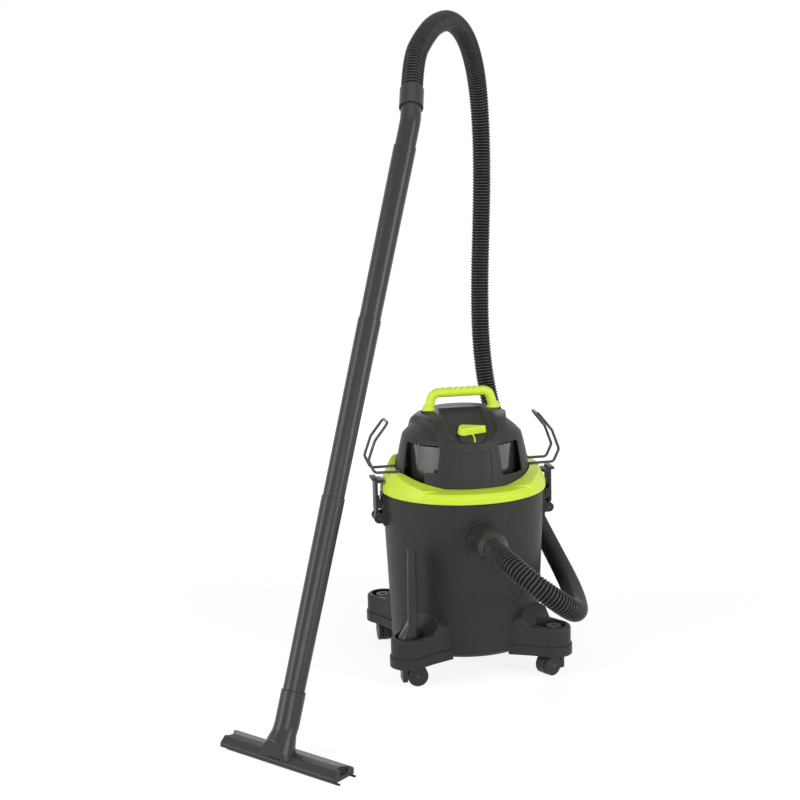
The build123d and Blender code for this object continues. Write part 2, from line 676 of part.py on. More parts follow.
def make_latches():
    pins = []
    for name, turn in (("left", 180.0), ("right", 0.0)):
        place = Rot(0, 0, turn)
        ear_in = LATCH_BARREL_HALF + FACE_GAP
        ear_out = ear_in + BRACKET_EAR
        pad_low = LATCH_HINGE_Z - BRACKET_EAR_R - FOOT_BAND_PROUD * 2
        bracket = span_box(
            TANK_BASE_R, BRACKET_PAD_X - FACE_GAP, -ear_out, ear_out, pad_low, BRACKET_PAD_TOP_Z
        )
        for side in (-1, 1):
            ear = along_y(BRACKET_EAR_R, side * ear_in, side * ear_out, LATCH_HINGE_X, LATCH_HINGE_Z)
            y0, y1 = sorted((side * ear_in, side * ear_out))
            ear += span_box(
                TANK_BASE_R, LATCH_HINGE_X, y0, y1, LATCH_HINGE_Z - BRACKET_EAR_R,
                LATCH_HINGE_Z + BRACKET_EAR_R,
            )
            bracket += ear
        bracket -= tank_cone(PUSH_GAP, pad_low, BRACKET_PAD_TOP_Z)
        bracket -= along_y(PIN_R + RUN_GAP, -ear_out, ear_out, LATCH_HINGE_X, LATCH_HINGE_Z)
        nodes["latch_bracket_" + name] = place * bracket
        pins.append(place * along_y(PIN_R, -ear_out, ear_out, LATCH_HINGE_X, LATCH_HINGE_Z))

        plate_out = LATCH_PLATE_X + LATCH_PLATE
        latch = along_y(
            LATCH_BARREL_R, -LATCH_BARREL_HALF, LATCH_BARREL_HALF, LATCH_HINGE_X, LATCH_HINGE_Z
        )
        latch += span_box(
            LATCH_PLATE_X, plate_out, -LATCH_BARREL_HALF, LATCH_BARREL_HALF,
            LATCH_HINGE_Z, LATCH_NECK_Z,
        )
        latch += span_box(
            LATCH_PLATE_X, plate_out, -LATCH_HALF_WIDTH, LATCH_HALF_WIDTH, LATCH_NECK_Z, LATCH_TOP_Z
        )
        latch += span_box(
            LATCH_NOSE_X, LATCH_PLATE_X, -LATCH_HALF_WIDTH, LATCH_HALF_WIDTH,
            LATCH_NOSE_Z, LATCH_NOSE_Z + LATCH_NOSE_HEIGHT,
        )
        cheek_in = LATCH_HALF_WIDTH - LATCH_CHEEK_WIDTH
        for y0, y1 in ((-LATCH_HALF_WIDTH, -cheek_in), (cheek_in, LATCH_HALF_WIDTH)):
            latch += span_box(LATCH_CHEEK_X, LATCH_PLATE_X, y0, y1, LATCH_CHEEK_LOW_Z, LATCH_CHEEK_HIGH_Z)
        tab_low = LATCH_TOP_Z - LATCH_PLATE
        latch += span_box(
            plate_out, plate_out + LATCH_TAB, -LATCH_HALF_WIDTH, LATCH_HALF_WIDTH, tab_low, LATCH_TOP_Z
        )
        latch -= along_y(
            PIN_R + RUN_GAP, -LATCH_BARREL_HALF, LATCH_BARREL_HALF, LATCH_HINGE_X, LATCH_HINGE_Z
        )
        nodes["latch_" + name] = place * latch
    nodes["latch_pins"] = Compound(children=pins)


# Deck, gasket, collar and the screws that hold them

def make_collar():
    screw_turns = [45 + 90 * quarter for quarter in range(4)]
    deck = ring(DECK_R, INTAKE_R, DECK_Z, HEAD_Z)
    collar_in = DOME_BASE_R + FACE_GAP
    lip_z = HEAD_Z + COLLAR_LIP
    collar = turned([
        (collar_in, HEAD_Z),
        (SKIRT_R, HEAD_Z),
        (SKIRT_R, HEAD_Z - SKIRT_DROP),
        (COLLAR_R, HEAD_Z - SKIRT_DROP),
        (COLLAR_R, lip_z),
        (COLLAR_R - COLLAR_ROUND, COLLAR_TOP_Z - COLLAR_ROUND),
        (DECK_SCREW_CIRCLE_R, COLLAR_TOP_Z),
        (collar_in, COLLAR_TOP_Z),
    ])
    tall = SHOULDER_TOP_Z - HEAD_Z
    shoulders = turned([
        (collar_in, HEAD_Z),
        (COLLAR_R, HEAD_Z),
        (COLLAR_R, lip_z),
        *[(COLLAR_R - inward * tall, HEAD_Z + up * tall) for inward, up in SHOULDER_SHAPE],
        (collar_in, SHOULDER_TOP_Z),
    ])
    crest = [(y, COLLAR_TOP_Z + rise) for y, rise in SHOULDER_CREST]
    side = make_face(Plane.YZ * Polyline((crest[0][0], HEAD_Z), *crest, (crest[-1][0], HEAD_Z), close=True))
    collar += shoulders & extrude(side, COLLAR_R, both=True)
    notch_low = LATCH_NOSE_Z - LATCH_NOTCH_DROP
    notch_high = LATCH_NOSE_Z + LATCH_NOSE_HEIGHT + LATCH_NOTCH_ROOM
    notch = turned([
        (COLLAR_R + LATCH_NOTCH_ROOM, notch_low),
        (COLLAR_R - LATCH_NOTCH_DEPTH, LATCH_NOSE_Z - LATCH_NOTCH_ROOM),
        (COLLAR_R - LATCH_NOTCH_DEPTH, LATCH_NOSE_Z + LATCH_NOTCH_ROOM),
        (COLLAR_R + LATCH_NOTCH_ROOM, notch_high),
    ])
    notch_half = LATCH_HALF_WIDTH + LATCH_NOTCH_SIDE
    collar -= notch & span_box(-2 * COLLAR_R, 2 * COLLAR_R, -notch_half, notch_half, notch_low, notch_high)
    for angle in SLIT_ANGLES:
        slit = span_box(
            DECK_R - 6 * SLIT_DEPTH, COLLAR_R, -SLIT_WIDTH / 2, SLIT_WIDTH / 2, SLIT_LOW_Z, COLLAR_TOP_Z
        )
        collar -= around(angle) * slit & (shoulders - Pos(0, 0, -SLIT_DEPTH) * shoulders)
    for y in (-HOOK_HALF_WIDTH, HOOK_HALF_WIDTH):
        collar -= Pos(0, y, HOOK_LEG_Z) * across_x(HOOK_WIRE_R + PUSH_GAP, -COLLAR_R, 2 * COLLAR_R)
    screws = []
    for turn in screw_turns:
        plane = Plane(around(turn, DECK_SCREW_CIRCLE_R))
        hole_r = DECK_SCREW_R + PUSH_GAP
        hole = cone_bar(plane, hole_r, hole_r, DECK_Z, HEAD_Z + DECK_SCREW_REACH)
        deck -= hole
        collar -= hole
        screw = cone_bar(plane, DECK_SCREW_R, DECK_SCREW_R, DECK_Z, HEAD_Z + DECK_SCREW_REACH)
        screw += cone_bar(plane, DECK_SCREW_HEAD_R, DECK_SCREW_HEAD_R, DECK_Z - DECK_SCREW_HEAD, DECK_Z)
        screws.append(screw)
    nodes["head_deck"] = deck
    nodes["head_gasket"] = ring(GASKET_OUTER_R, GASKET_INNER_R, GASKET_Z, DECK_Z)
    nodes["collar_ring"] = collar
    nodes["deck_screws"] = Compound(children=screws)


def dome(inset, drop=0.0):
    # The cover's turned form, drawn in by a wall on every side but the bottom
    top_z = DOME_TOP_Z - drop
    waist = (DOME_WAIST_R - inset, DOME_WAIST_Z)
    side_r = DOME_WAIST_R - DOME_SIDE_IN
    shoulder_r = DOME_WAIST_R - DOME_SHOULDER_IN
    crown_r = DOME_WAIST_R - DOME_CROWN_IN - drop / 2
    brow_r = DOME_WAIST_R - DOME_BROW_IN - drop / 2
    side = (side_r - 0.98 * inset, DOME_WAIST_Z + DOME_SIDE_UP - 0.2 * inset)
    shoulder = (shoulder_r - 0.93 * inset, DOME_TOP_Z - DOME_SHOULDER_DOWN - 0.35 * inset)
    crown = (crown_r - 0.8 * inset, top_z + drop / 2 - DOME_CROWN_DOWN - 0.6 * inset)
    brow = (brow_r - 0.5 * inset, top_z - DOME_BROW_DOWN - 0.85 * inset)
    top = (DOME_WAIST_R - DOME_TOP_IN - drop, top_z - inset)
    outline = Line((DOME_BASE_R - inset, HEAD_Z), waist)
    outline += ThreePointArc(waist, side, shoulder)
    outline += ThreePointArc(shoulder, crown, brow)
    outline += Polyline(brow, top, (0, top_z - inset), (0, HEAD_Z), (DOME_BASE_R - inset, HEAD_Z))
    return revolve(make_face(Plane.XZ * outline), Axis.Z)


def cover_form(inset):
    # A dome with lower flanks, and a bridge over it that widens towards the back
    front = BRIDGE_FRONT_HALF - inset
    back = BRIDGE_BACK_HALF - inset
    plan = make_face(Polyline(
        (-front, -DOME_BASE_R),
        (front, -DOME_BASE_R),
        (back, BRIDGE_SPREAD_Y),
        (back, DOME_BASE_R),
        (-back, DOME_BASE_R),
        (-back, BRIDGE_SPREAD_Y),
        close=True,
    ))
    bridge = dome(inset) & extrude(plan, DOME_TOP_Z)
    return dome(inset, DOME_FLANK_DROP) + bridge


def pocket(extra):
    # The sloping valley across the top of the cover, flared at its sides and soft at its floor
    length = POCKET_BACK_RUN + POCKET_FRONT_RUN + extra
    floor_half = POCKET_HALF_WIDTH + extra
    rim_half = floor_half + POCKET_FLARE * POCKET_DEPTH
    section = make_face(Polyline(
        (-floor_half, -extra),
        (floor_half, -extra),
        (rim_half, POCKET_DEPTH),
        (-rim_half, POCKET_DEPTH),
        close=True,
    ))
    block = Pos(0, POCKET_BACK_RUN + extra, 0) * extrude(Plane.XZ * section, length)
    floor = block.faces().sort_by(Axis.Z)[0]
    front = block.faces().sort_by(Axis.Y)[0]
    kept = [edge for edge in floor.edges() if edge not in front.edges()]
    return KNOB_PLANE * fillet(kept, POCKET_CORNER)


def window(half_width, low_z, step_width=0.0):
    # One opening in the cover's wall, which may have a stepped lower corner on its right
    points = [(-half_width, low_z), (half_width, low_z)]
    if step_width:
        step_z = low_z + WINDOW_STEP_HEIGHT
        step_x = half_width - step_width
        points = [(-half_width, low_z), (step_x, low_z), (step_x, step_z), (half_width, step_z)]
    points += [(half_width, WINDOW_HIGH_Z), (-half_width, WINDOW_HIGH_Z)]
    outline = fillet(make_face(Polyline(*points, close=True)).vertices(), WINDOW_CORNER)
    inside = Plane(origin=(0, -DRUM_R / 2, 0), x_dir=(1, 0, 0), z_dir=(0, -1, 0))
    return inside * extrude(outline, DOME_BASE_R)


# Motor cover, inner drum, blower outlet and cord gland

def make_cover():
    cavity = cover_form(DOME_WALL) - pocket(DOME_WALL)
    shell = cover_form(0) - pocket(0)
    plate = (dome(0) - dome(PLATE_DEPTH)) & span_box(
        -PLATE_HALF_WIDTH, PLATE_HALF_WIDTH, -DOME_BASE_R, 0, PLATE_LOW_Z, PLATE_HIGH_Z
    )
    shell -= plate
    shell -= cavity
    for x in (-HANDLE_HALF_FOOT, HANDLE_HALF_FOOT):
        stand = Plane(origin=(x, 0, 0))
        shell += cone_bar(stand, BOSS_R, BOSS_R, DOME_TOP_Z - BOSS_R, DOME_TOP_Z) - pocket(0)
    shell -= Rot(0, 0, -WINDOW_LEFT_ANGLE) * window(WINDOW_LEFT_HALF_WIDTH, WINDOW_LOW_Z, WINDOW_STEP_WIDTH)
    shell -= Rot(0, 0, WINDOW_RIGHT_ANGLE) * window(WINDOW_RIGHT_HALF_WIDTH, WINDOW_RIGHT_LOW_Z)
    for side in (-1, 1):
        shell -= Rot(0, 0, 180 + side * WINDOW_REAR_ANGLE) * window(WINDOW_REAR_HALF_WIDTH, WINDOW_LOW_Z)
    shell -= along_y(BLOWER_R + PUSH_GAP, 0, BLOWER_END_Y, z=BLOWER_Z)
    gland = Plane(around(GLAND_ANGLE, 0, GLAND_Z) * Rot(0, 90, 0))
    wall_r = DOME_WAIST_R
    gland_in = wall_r - 3 * DOME_WALL
    gland_out = wall_r + GLAND_PROUD
    shell -= cone_bar(gland, GLAND_R + PUSH_GAP, GLAND_R + PUSH_GAP, gland_in, gland_out)
    shaft_hole = KNOB_SHAFT_R + RUN_GAP
    shell -= cone_bar(KNOB_PLANE, shaft_hole, shaft_hole, -POCKET_CORNER, POCKET_CORNER)
    nodes["motor_cover"] = shell

    sleeve = cone_bar(gland, GLAND_R, GLAND_R, gland_in, wall_r + GLAND_PROUD / 2)
    sleeve += cone_bar(gland, GLAND_NUT_R, GLAND_R, wall_r + DOME_WALL, gland_out)
    sleeve -= cone_bar(gland, GLAND_BORE_R, GLAND_BORE_R, gland_in, gland_out)
    nodes["cord_gland"] = sleeve

    drum = ring(DRUM_R, DRUM_R - DRUM_WALL, HEAD_Z, DRUM_TOP_Z)
    drum -= along_y(BLOWER_BORE_R, 0, DRUM_R, z=BLOWER_Z)
    slot_low = WINDOW_LOW_Z + WINDOW_CORNER
    slot_high = DRUM_TOP_Z - 2 * WINDOW_CORNER
    for side in (-1, 1):
        for index in range(DRUM_SLOTS):
            x = (index - (DRUM_SLOTS - 1) / 2) * DRUM_SLOT_PITCH
            slot = span_box(
                x - DRUM_SLOT_WIDTH / 2, x + DRUM_SLOT_WIDTH / 2, DRUM_R / 2, DRUM_R, slot_low, slot_high
            )
            drum -= Rot(0, 0, side * WINDOW_REAR_ANGLE) * slot
    nodes["inner_drum"] = drum

    outlet = along_y(BLOWER_R, 0, BLOWER_END_Y, z=BLOWER_Z)
    outlet -= cone_bar(Plane.XY, DRUM_R + PUSH_GAP, DRUM_R + PUSH_GAP, HEAD_Z, DRUM_TOP_Z)
    outlet -= along_y(BLOWER_BORE_R, 0, BLOWER_END_Y, z=BLOWER_Z)
    nodes["blower_outlet"] = outlet


# Carrying handle with finger ridges

def make_handle():
    path = FilletPolyline(
        (-HANDLE_HALF_FOOT, 0, DOME_TOP_Z),
        (-HANDLE_HALF_BAR, 0, HANDLE_BAR_Z),
        (HANDLE_HALF_BAR, 0, HANDLE_BAR_Z),
        (HANDLE_HALF_FOOT, 0, DOME_TOP_Z),
        radius=HANDLE_CORNER_R,
    )
    bar = sweep(Plane(origin=path @ 0, z_dir=path % 0) * Circle(HANDLE_BAR_R), path)
    for x in (-HANDLE_HALF_FOOT, HANDLE_HALF_FOOT):
        stand = Plane(origin=(x, 0, DOME_TOP_Z))
        bar += cone_bar(stand, HANDLE_FLARE_R, HANDLE_BAR_R, 0, HANDLE_FLARE_HEIGHT)
    ridge_z = HANDLE_BAR_Z + HANDLE_BAR_R - HANDLE_RIDGE_R + HANDLE_RIDGE_PROUD
    for index in range(HANDLE_RIDGES):
        x = (index - (HANDLE_RIDGES - 1) / 2) * HANDLE_RIDGE_PITCH
        half = HANDLE_RIDGE_LENGTH / 2
        bar += along_y(HANDLE_RIDGE_R, -half, half, x, ridge_z)
    below = HANDLE_BAR_R * 2
    bar -= span_box(-2 * DOME_BASE_R, 2 * DOME_BASE_R, -below, below, DOME_TOP_Z - below, DOME_TOP_Z)
    nodes["carry_handle"] = bar


# Wire hooks for the cord at the head's two sides

def make_hooks():
    half = [
        (HOOK_ROOT_X, HOOK_LEG_Z),
        (HOOK_ELBOW_X, HOOK_LEG_Z),
        (HOOK_BULGE_X, HOOK_BULGE_Z),
        (HOOK_NECK_X, HOOK_NECK_Z),
        (HOOK_TIP_X, HOOK_TIP_Z),
    ]
    points = [(x, -HOOK_HALF_WIDTH, z) for x, z in half]
    points += [(x, HOOK_HALF_WIDTH, z) for x, z in reversed(half)]
    path = FilletPolyline(*points, radius=HOOK_BEND_R)
    wire = sweep(Plane(origin=path @ 0, z_dir=path % 0) * Circle(HOOK_WIRE_R), path)
    nodes["hook_right"] = wire
    nodes["hook_left"] = Rot(0, 0, 180) * wire


# Rotary switch, its knob skirt and its pointer grip

def make_switch():
    hole = KNOB_SHAFT_R + RUN_GAP
    top = -DOME_WALL
    body = KNOB_PLANE * Pos(0, 0, top - SWITCH_HEIGHT / 2) * Box(SWITCH_SIDE, SWITCH_SIDE, SWITCH_HEIGHT)
    body -= cone_bar(KNOB_PLANE, hole, hole, top - SWITCH_HEIGHT, top)
    nodes["switch_body"] = body

    low = FACE_GAP
    high = low + KNOB_SKIRT_HEIGHT
    skirt = cone_bar(KNOB_PLANE, KNOB_SKIRT_R, KNOB_SKIRT_TOP_R, low, high)
    skirt += cone_bar(KNOB_PLANE, KNOB_SHAFT_R, KNOB_SHAFT_R, -KNOB_SHAFT_LENGTH, high)
    tick = span_box(
        -TICK_WIDTH / 2, TICK_WIDTH / 2, -KNOB_SKIRT_R, -KNOB_SKIRT_R + 2 * TICK_DEPTH,
        low + KNOB_SKIRT_HEIGHT / 4, high,
    )
    tick_cut = KNOB_PLANE * tick
    grip_plan = Pos(GRIP_WIDE_X, 0) * Circle(GRIP_WIDE_R) + Pos(GRIP_TIP_X, 0) * Circle(GRIP_TIP_R)
    grip_plan = make_hull(grip_plan.edges())
    grip = KNOB_PLANE * Pos(0, 0, high) * extrude(grip_plan, GRIP_HEIGHT, taper=GRIP_TAPER)
    rib = span_box(
        -TICK_WIDTH / 2, TICK_WIDTH / 2, -KNOB_SKIRT_TOP_R, 0, high, high + TICK_DEPTH / 2
    )
    grip += KNOB_PLANE * rib
    grip += tick_cut & skirt
    nodes["knob_skirt"] = skirt - tick_cut
    nodes["knob_grip"] = grip


# Motor, shaft, fan, filter cage, filter and float

def make_works():
    top_z = HEAD_Z + FAN_HOUSING_HEIGHT
    housing = ring(FAN_HOUSING_R, FAN_HOUSING_R - FAN_HOUSING_WALL, HEAD_Z, top_z)
    housing += ring(FAN_HOUSING_R, SHAFT_R + RUN_GAP, top_z - FAN_HOUSING_WALL, top_z)
    nodes["fan_housing"] = housing
    motor_top = top_z + MOTOR_HEIGHT
    nodes["motor_can"] = ring(MOTOR_R, SHAFT_R + RUN_GAP, top_z, motor_top)

    fan_z = HEAD_Z + FAN_LOW
    plate_z = fan_z + FAN_BLADE_HEIGHT
    fan = ring(FAN_R, SHAFT_R, plate_z, plate_z + FAN_PLATE)
    fan += ring(FAN_HUB_R, SHAFT_R, fan_z, plate_z)
    for index in range(FAN_BLADES):
        blade = span_box(
            FAN_HUB_R - FAN_BLADE_ROOT, FAN_R - FAN_BLADE_ROOT,
            -FAN_BLADE_THICK / 2, FAN_BLADE_THICK / 2, fan_z, plate_z
        )
        fan += Rot(0, 0, 360 / FAN_BLADES * index) * blade
    nodes["fan_wheel"] = fan
    nodes["motor_shaft"] = cone_bar(Plane.XY, SHAFT_R, SHAFT_R, fan_z, motor_top + SHAFT_R)

    cage_low = DECK_Z - CAGE_DROP
    cage = ring(CAGE_R, CAGE_R - CAGE_WALL, cage_low, DECK_Z)
    cage += cone_bar(Plane.XY, CAGE_R, CAGE_R, cage_low, cage_low + CAGE_FLOOR)
    for index in range(CAGE_WINDOWS):
        cut = span_box(
            FLOAT_R, CAGE_R + CAGE_WALL, -CAGE_WINDOW_WIDTH / 2, CAGE_WINDOW_WIDTH / 2,
            cage_low + CAGE_BAND, DECK_Z - CAGE_BAND,
        )
        cage -= Rot(0, 0, 360 / CAGE_WINDOWS * index) * cut
    nodes["filter_cage"] = cage
    sleeve_in = CAGE_R + FACE_GAP
    cap_top = cage_low + FILTER_CAP
    nodes["filter_sleeve"] = ring(CAGE_R + FILTER_WALL, sleeve_in, cap_top, DECK_Z)
    nodes["filter_cap"] = ring(CAGE_R + FILTER_WALL, CAGE_R + PUSH_GAP, cage_low, cap_top)
    float_low = cage_low + CAGE_FLOOR
    cup = cone_bar(Plane.XY, FLOAT_R, FLOAT_R, float_low, float_low + FLOAT_HEIGHT)
    inside = FLOAT_R - FLOAT_WALL
    cup -= cone_bar(Plane.XY, inside, inside, float_low, float_low + FLOAT_HEIGHT - FLOAT_WALL)
    nodes["float_cup"] = cup


# Wand: where its axis starts, and the frames of the pieces along it

def wand_frames():
    heading = radians(WAND_HEADING)
    lean = radians(WAND_LEAN)
    low_lean = radians(NECK_LOW_LEAN)
    out = Vector(cos(heading), sin(heading), 0)
    up = Vector(0, 0, 1)
    across = Vector(sin(heading), -cos(heading), 0)
    centre = Vector(NOZZLE_X, NOZZLE_Y, 0)
    foot = centre - across * NOZZLE_OFFSET
    axis = out * sin(lean) + up * cos(lean)
    low_axis = out * sin(low_lean) + up * cos(low_lean)
    elbow = foot + out * NECK_ELBOW_RUN + up * NECK_ELBOW_Z
    return centre, across, axis, low_axis, elbow


def make_nozzle():
    centre, across, axis, low_axis, elbow = wand_frames()
    frame = Plane(origin=centre, x_dir=across, z_dir=(0, 0, 1))
    half = NOZZLE_LENGTH / 2

    def hull_profile(inset):
        front = -NOZZLE_HALF_DEPTH + inset
        back = NOZZLE_HALF_DEPTH - inset
        return make_face(Plane.YZ * Polyline(
            (front, NOZZLE_LIFT),
            (front, NOZZLE_FRONT_Z),
            (front * NOZZLE_BROW_SHARE, NOZZLE_HEIGHT - NOZZLE_BROW_DROP - inset),
            (0, NOZZLE_HEIGHT - inset),
            (back * NOZZLE_RUMP_SHARE, NOZZLE_HEIGHT - NOZZLE_RUMP_DROP - inset),
            (back, NOZZLE_BACK_Z),
            (back, NOZZLE_LIFT),
            close=True,
        ))

    body = extrude(hull_profile(0), half, both=True)
    for side in (-1, 1):
        body -= Pos(side * half, 0, NOZZLE_HEIGHT) * Cylinder(NOZZLE_SCOOP_R, NOZZLE_HEIGHT)
    body = frame * body
    low_plane = Plane(origin=elbow, x_dir=across, z_dir=low_axis)
    up_plane = Plane(origin=elbow, x_dir=across, z_dir=axis)
    drop = (NECK_ELBOW_Z - NOZZLE_FRONT_Z) / low_axis.Z
    neck_span = 3 * NECK_R
    cavity_half = half - NOZZLE_SCOOP_R - NOZZLE_WALL
    above = frame * span_box(
        -neck_span, neck_span, -NOZZLE_HALF_DEPTH, neck_span, NOZZLE_LIFT, 2 * NECK_ELBOW_Z
    )
    within = frame * span_box(
        -neck_span, neck_span, NOZZLE_WALL - NOZZLE_HALF_DEPTH, neck_span, NOZZLE_LIFT, 2 * NECK_ELBOW_Z
    )
    low_neck = cone_bar(low_plane, NECK_R, NECK_R, -drop, 0) & above
    flare = cone_bar(low_plane, NECK_FLARE_R, NECK_R, -drop, -drop / 4) & above
    body = body + low_neck + flare
    body += Pos(elbow) * Sphere(NECK_R)
    body += cone_bar(up_plane, NECK_R, NECK_R, 0, NECK_UPPER)
    body -= frame * extrude(hull_profile(NOZZLE_WALL), cavity_half, both=True)
    body -= cone_bar(low_plane, NECK_BORE_R, NECK_BORE_R, -drop, 0) & within
    body -= Pos(elbow) * Sphere(NECK_BORE_R)
    body -= cone_bar(up_plane, NECK_BORE_R, NECK_BORE_R, 0, NECK_UPPER)
    socket = TUBE_SPIGOT_R + PUSH_GAP
    body -= cone_bar(up_plane, socket, socket, NECK_UPPER - NECK_LAP, NECK_UPPER)
    nodes["nozzle_body"] = body
    inner = NOZZLE_HALF_DEPTH - NOZZLE_WALL
    for name, y0 in (("front", -inner), ("rear", inner - STRIP_THICK)):
        strip = span_box(-cavity_half, cavity_half, y0, y0 + STRIP_THICK, 0, NOZZLE_FRONT_Z)
        strip += span_box(-cavity_half, half + STRIP_TAB, y0, y0 + STRIP_THICK, 0, NOZZLE_LIFT)
        nodes["nozzle_strip_" + name] = frame * strip


def make_tube(plane, lap):
    # One wand tube: a spigot below, a widening body and a socket at the top
    tube = cone_bar(plane, TUBE_SPIGOT_R, TUBE_SPIGOT_R, 0, lap)
    tube += cone_bar(plane, TUBE_LOW_R, TUBE_TOP_R, lap, TUBE_LENGTH)
    tube -= cone_bar(plane, TUBE_BORE_R, TUBE_BORE_R, 0, TUBE_LENGTH)
    socket = TUBE_SPIGOT_R + PUSH_GAP
    return tube - cone_bar(plane, socket, socket, TUBE_LENGTH - TUBE_LAP, TUBE_LENGTH)


def make_wand():
    _, across, axis, _, elbow = wand_frames()
    low = elbow + axis * (NECK_UPPER - NECK_LAP)
    lap = NECK_LAP
    for name in ("lower", "middle", "upper"):
        nodes["wand_tube_" + name] = make_tube(Plane(origin=low, x_dir=across, z_dir=axis), lap)
        low = low + axis * (TUBE_LENGTH - TUBE_LAP)
        lap = TUBE_LAP
    plane = Plane(origin=low, x_dir=across, z_dir=axis)
    spigot = cone_bar(plane, TUBE_SPIGOT_R, TUBE_SPIGOT_R, 0, TUBE_LAP)
    corner = low + axis * (TUBE_LAP + BEND_STRAIGHT)
    end = corner + HOSE_END_DIRECTION * BEND_TAIL
    path = FilletPolyline(
        (low + axis * TUBE_LAP), corner, end, radius=BEND_CORNER_R
    )
    section = Plane(origin=path @ 0, z_dir=path % 0)
    bent = spigot + sweep(section * Circle(BEND_R + PUSH_GAP), path)
    bore_path = sweep(section * Circle(TUBE_BORE_R), path)
    bent -= bore_path
    bent -= cone_bar(plane, TUBE_BORE_R, TUBE_BORE_R, 0, TUBE_LAP)
    nodes["bent_tube"] = bent

    cuff_plane = Plane(origin=end - HOSE_END_DIRECTION * BEND_LAP, z_dir=HOSE_END_DIRECTION)
    cuff = cone_bar(cuff_plane, WAND_CUFF_R, WAND_CUFF_R, 0, WAND_CUFF_LENGTH)
    socket = BEND_R + 2 * PUSH_GAP
    cuff -= cone_bar(cuff_plane, socket, socket, 0, BEND_LAP)
    cuff -= cone_bar(cuff_plane, HOSE_BORE_R, HOSE_BORE_R, BEND_LAP, WAND_CUFF_LENGTH)
    nodes["hose_cuff_wand"] = cuff
    return cuff_plane.origin + HOSE_END_DIRECTION * WAND_CUFF_LENGTH


# Hose: straight runs joined by tangent arcs, with ribs along its whole length

def hose_path(start, end):
    points = [Vector(*start), Vector(*start) + Vector(0, -HOSE_END_RUN, 0)]
    spread = TANK_TOP_R / HOSE_ROUTE_TANK_R
    points += [Vector(x * spread, y * spread, z) for x, y, z in HOSE_ROUTE]
    points += [end + HOSE_END_DIRECTION * HOSE_END_RUN, end]
    radii = []
    for before, here, after in zip(points, points[1:], points[2:]):
        turn = radians((here - before).get_angle(after - here))
        shorter = min((here - before).length, (after - here).length)
        radii.append(HOSE_BEND_SHARE * shorter / tan(turn / 2))
    return FilletPolyline(*points, radius=radii)


def make_hose(end):
    path = hose_path((0, CUFF_END_Y, INLET_Z), end)
    length = path.length
    pitch = length / HOSE_RIBS
    stations = []
    for rib in range(HOSE_RIBS):
        for share, depth in HOSE_RIB_SHAPE:
            stations.append(((rib + share) * pitch, HOSE_R - depth * HOSE_RIB_DEPTH))
    stations.append((length, HOSE_R - HOSE_RIB_DEPTH))
    steady = Vector(1, 0.2, 0.1)
    sections = []
    for along, radius in stations:
        share = along / length
        tangent = path % share
        x_dir = steady - tangent * steady.dot(tangent)
        sections.append(Plane(origin=path @ share, x_dir=x_dir, z_dir=tangent) * Circle(radius))
    bore = sweep(Plane(origin=path @ 0, z_dir=path % 0) * Circle(HOSE_BORE_R), path)
    rings = len(HOSE_RIB_SHAPE) * HOSE_RIBS
    stretch = rings // HOSE_STRETCHES
    stretches = [
        loft(sections[first:first + stretch + 1], ruled=True)
        for first in range(0, rings, stretch)
    ]
    hose = stretches[0].fuse(*stretches[1:]) - bore
    print("hose length", round(length))
    nodes["hose"] = hose


make_tank()
make_inlet()
make_feet()
make_crevice_tool()
make_casters()
make_latches()
make_collar()
make_cover()
make_handle()
make_hooks()
make_switch()
make_works()
make_nozzle()
make_hose(make_wand())

os.makedirs("parts", exist_ok=True)
for node_name, shape in nodes.items():
    export_step(shape, f"parts/{node_name}.step")
print(len(nodes), "nodes")
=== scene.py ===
"""Dresses a shop vacuum with its hose, wand and floor nozzle.

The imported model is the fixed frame. Every length is in metres unless a name says millimetres,
+Z is up, and the hose inlet faces -Y.
"""

from __future__ import annotations

import json
import logging
import math
from collections.abc import Iterable, Sequence
from dataclasses import dataclass
from enum import Enum
from typing import Union

import bmesh
import bpy
from mathutils import Matrix, Quaternion, Vector

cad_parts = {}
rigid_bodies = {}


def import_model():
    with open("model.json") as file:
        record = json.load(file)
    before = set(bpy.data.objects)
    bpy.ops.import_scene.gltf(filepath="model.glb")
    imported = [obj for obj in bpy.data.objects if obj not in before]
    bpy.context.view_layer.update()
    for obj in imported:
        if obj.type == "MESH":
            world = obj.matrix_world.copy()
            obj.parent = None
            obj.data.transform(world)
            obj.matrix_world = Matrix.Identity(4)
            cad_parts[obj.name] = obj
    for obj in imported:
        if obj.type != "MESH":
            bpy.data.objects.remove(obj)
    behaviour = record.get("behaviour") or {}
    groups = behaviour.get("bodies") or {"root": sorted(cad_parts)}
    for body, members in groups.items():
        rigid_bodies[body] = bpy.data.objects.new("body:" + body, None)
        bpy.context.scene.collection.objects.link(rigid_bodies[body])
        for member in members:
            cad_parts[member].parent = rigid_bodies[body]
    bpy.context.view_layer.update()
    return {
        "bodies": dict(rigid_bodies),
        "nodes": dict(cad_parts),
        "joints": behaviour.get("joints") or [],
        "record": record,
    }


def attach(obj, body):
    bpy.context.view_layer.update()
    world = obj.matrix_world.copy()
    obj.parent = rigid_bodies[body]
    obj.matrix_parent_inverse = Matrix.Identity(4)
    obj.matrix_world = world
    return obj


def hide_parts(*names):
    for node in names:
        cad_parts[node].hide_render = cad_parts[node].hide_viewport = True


LOG = logging.getLogger("shop_vacuum")

MM = 0.001
FAR = 9.0
UP = Vector((0.0, 0.0, 1.0))
MERGE_DISTANCE = 0.004 * MM
FLAT_ANGLE = math.radians(0.8)
CORNER_ANGLE = math.radians(28)
SHARP_ANGLE = math.radians(38)
ROUND_PROFILE = 0.5
NORMAL_WEIGHT = 60
# Marks the faces of rounded corners, which the finishes paint lighter, partly as rub wear and partly as a
# painted highlight.
WEAR_AND_HIGHLIGHT_LAYER = "edge_wear_and_highlight"
RIB_LAYER = "rib_height"

Colour = tuple[float, float, float]
Point = tuple[float, float, float]
Band = tuple[float, float]
Value = Union["Term", float, Sequence[float]]

WHITE: Colour = (1.0, 1.0, 1.0)


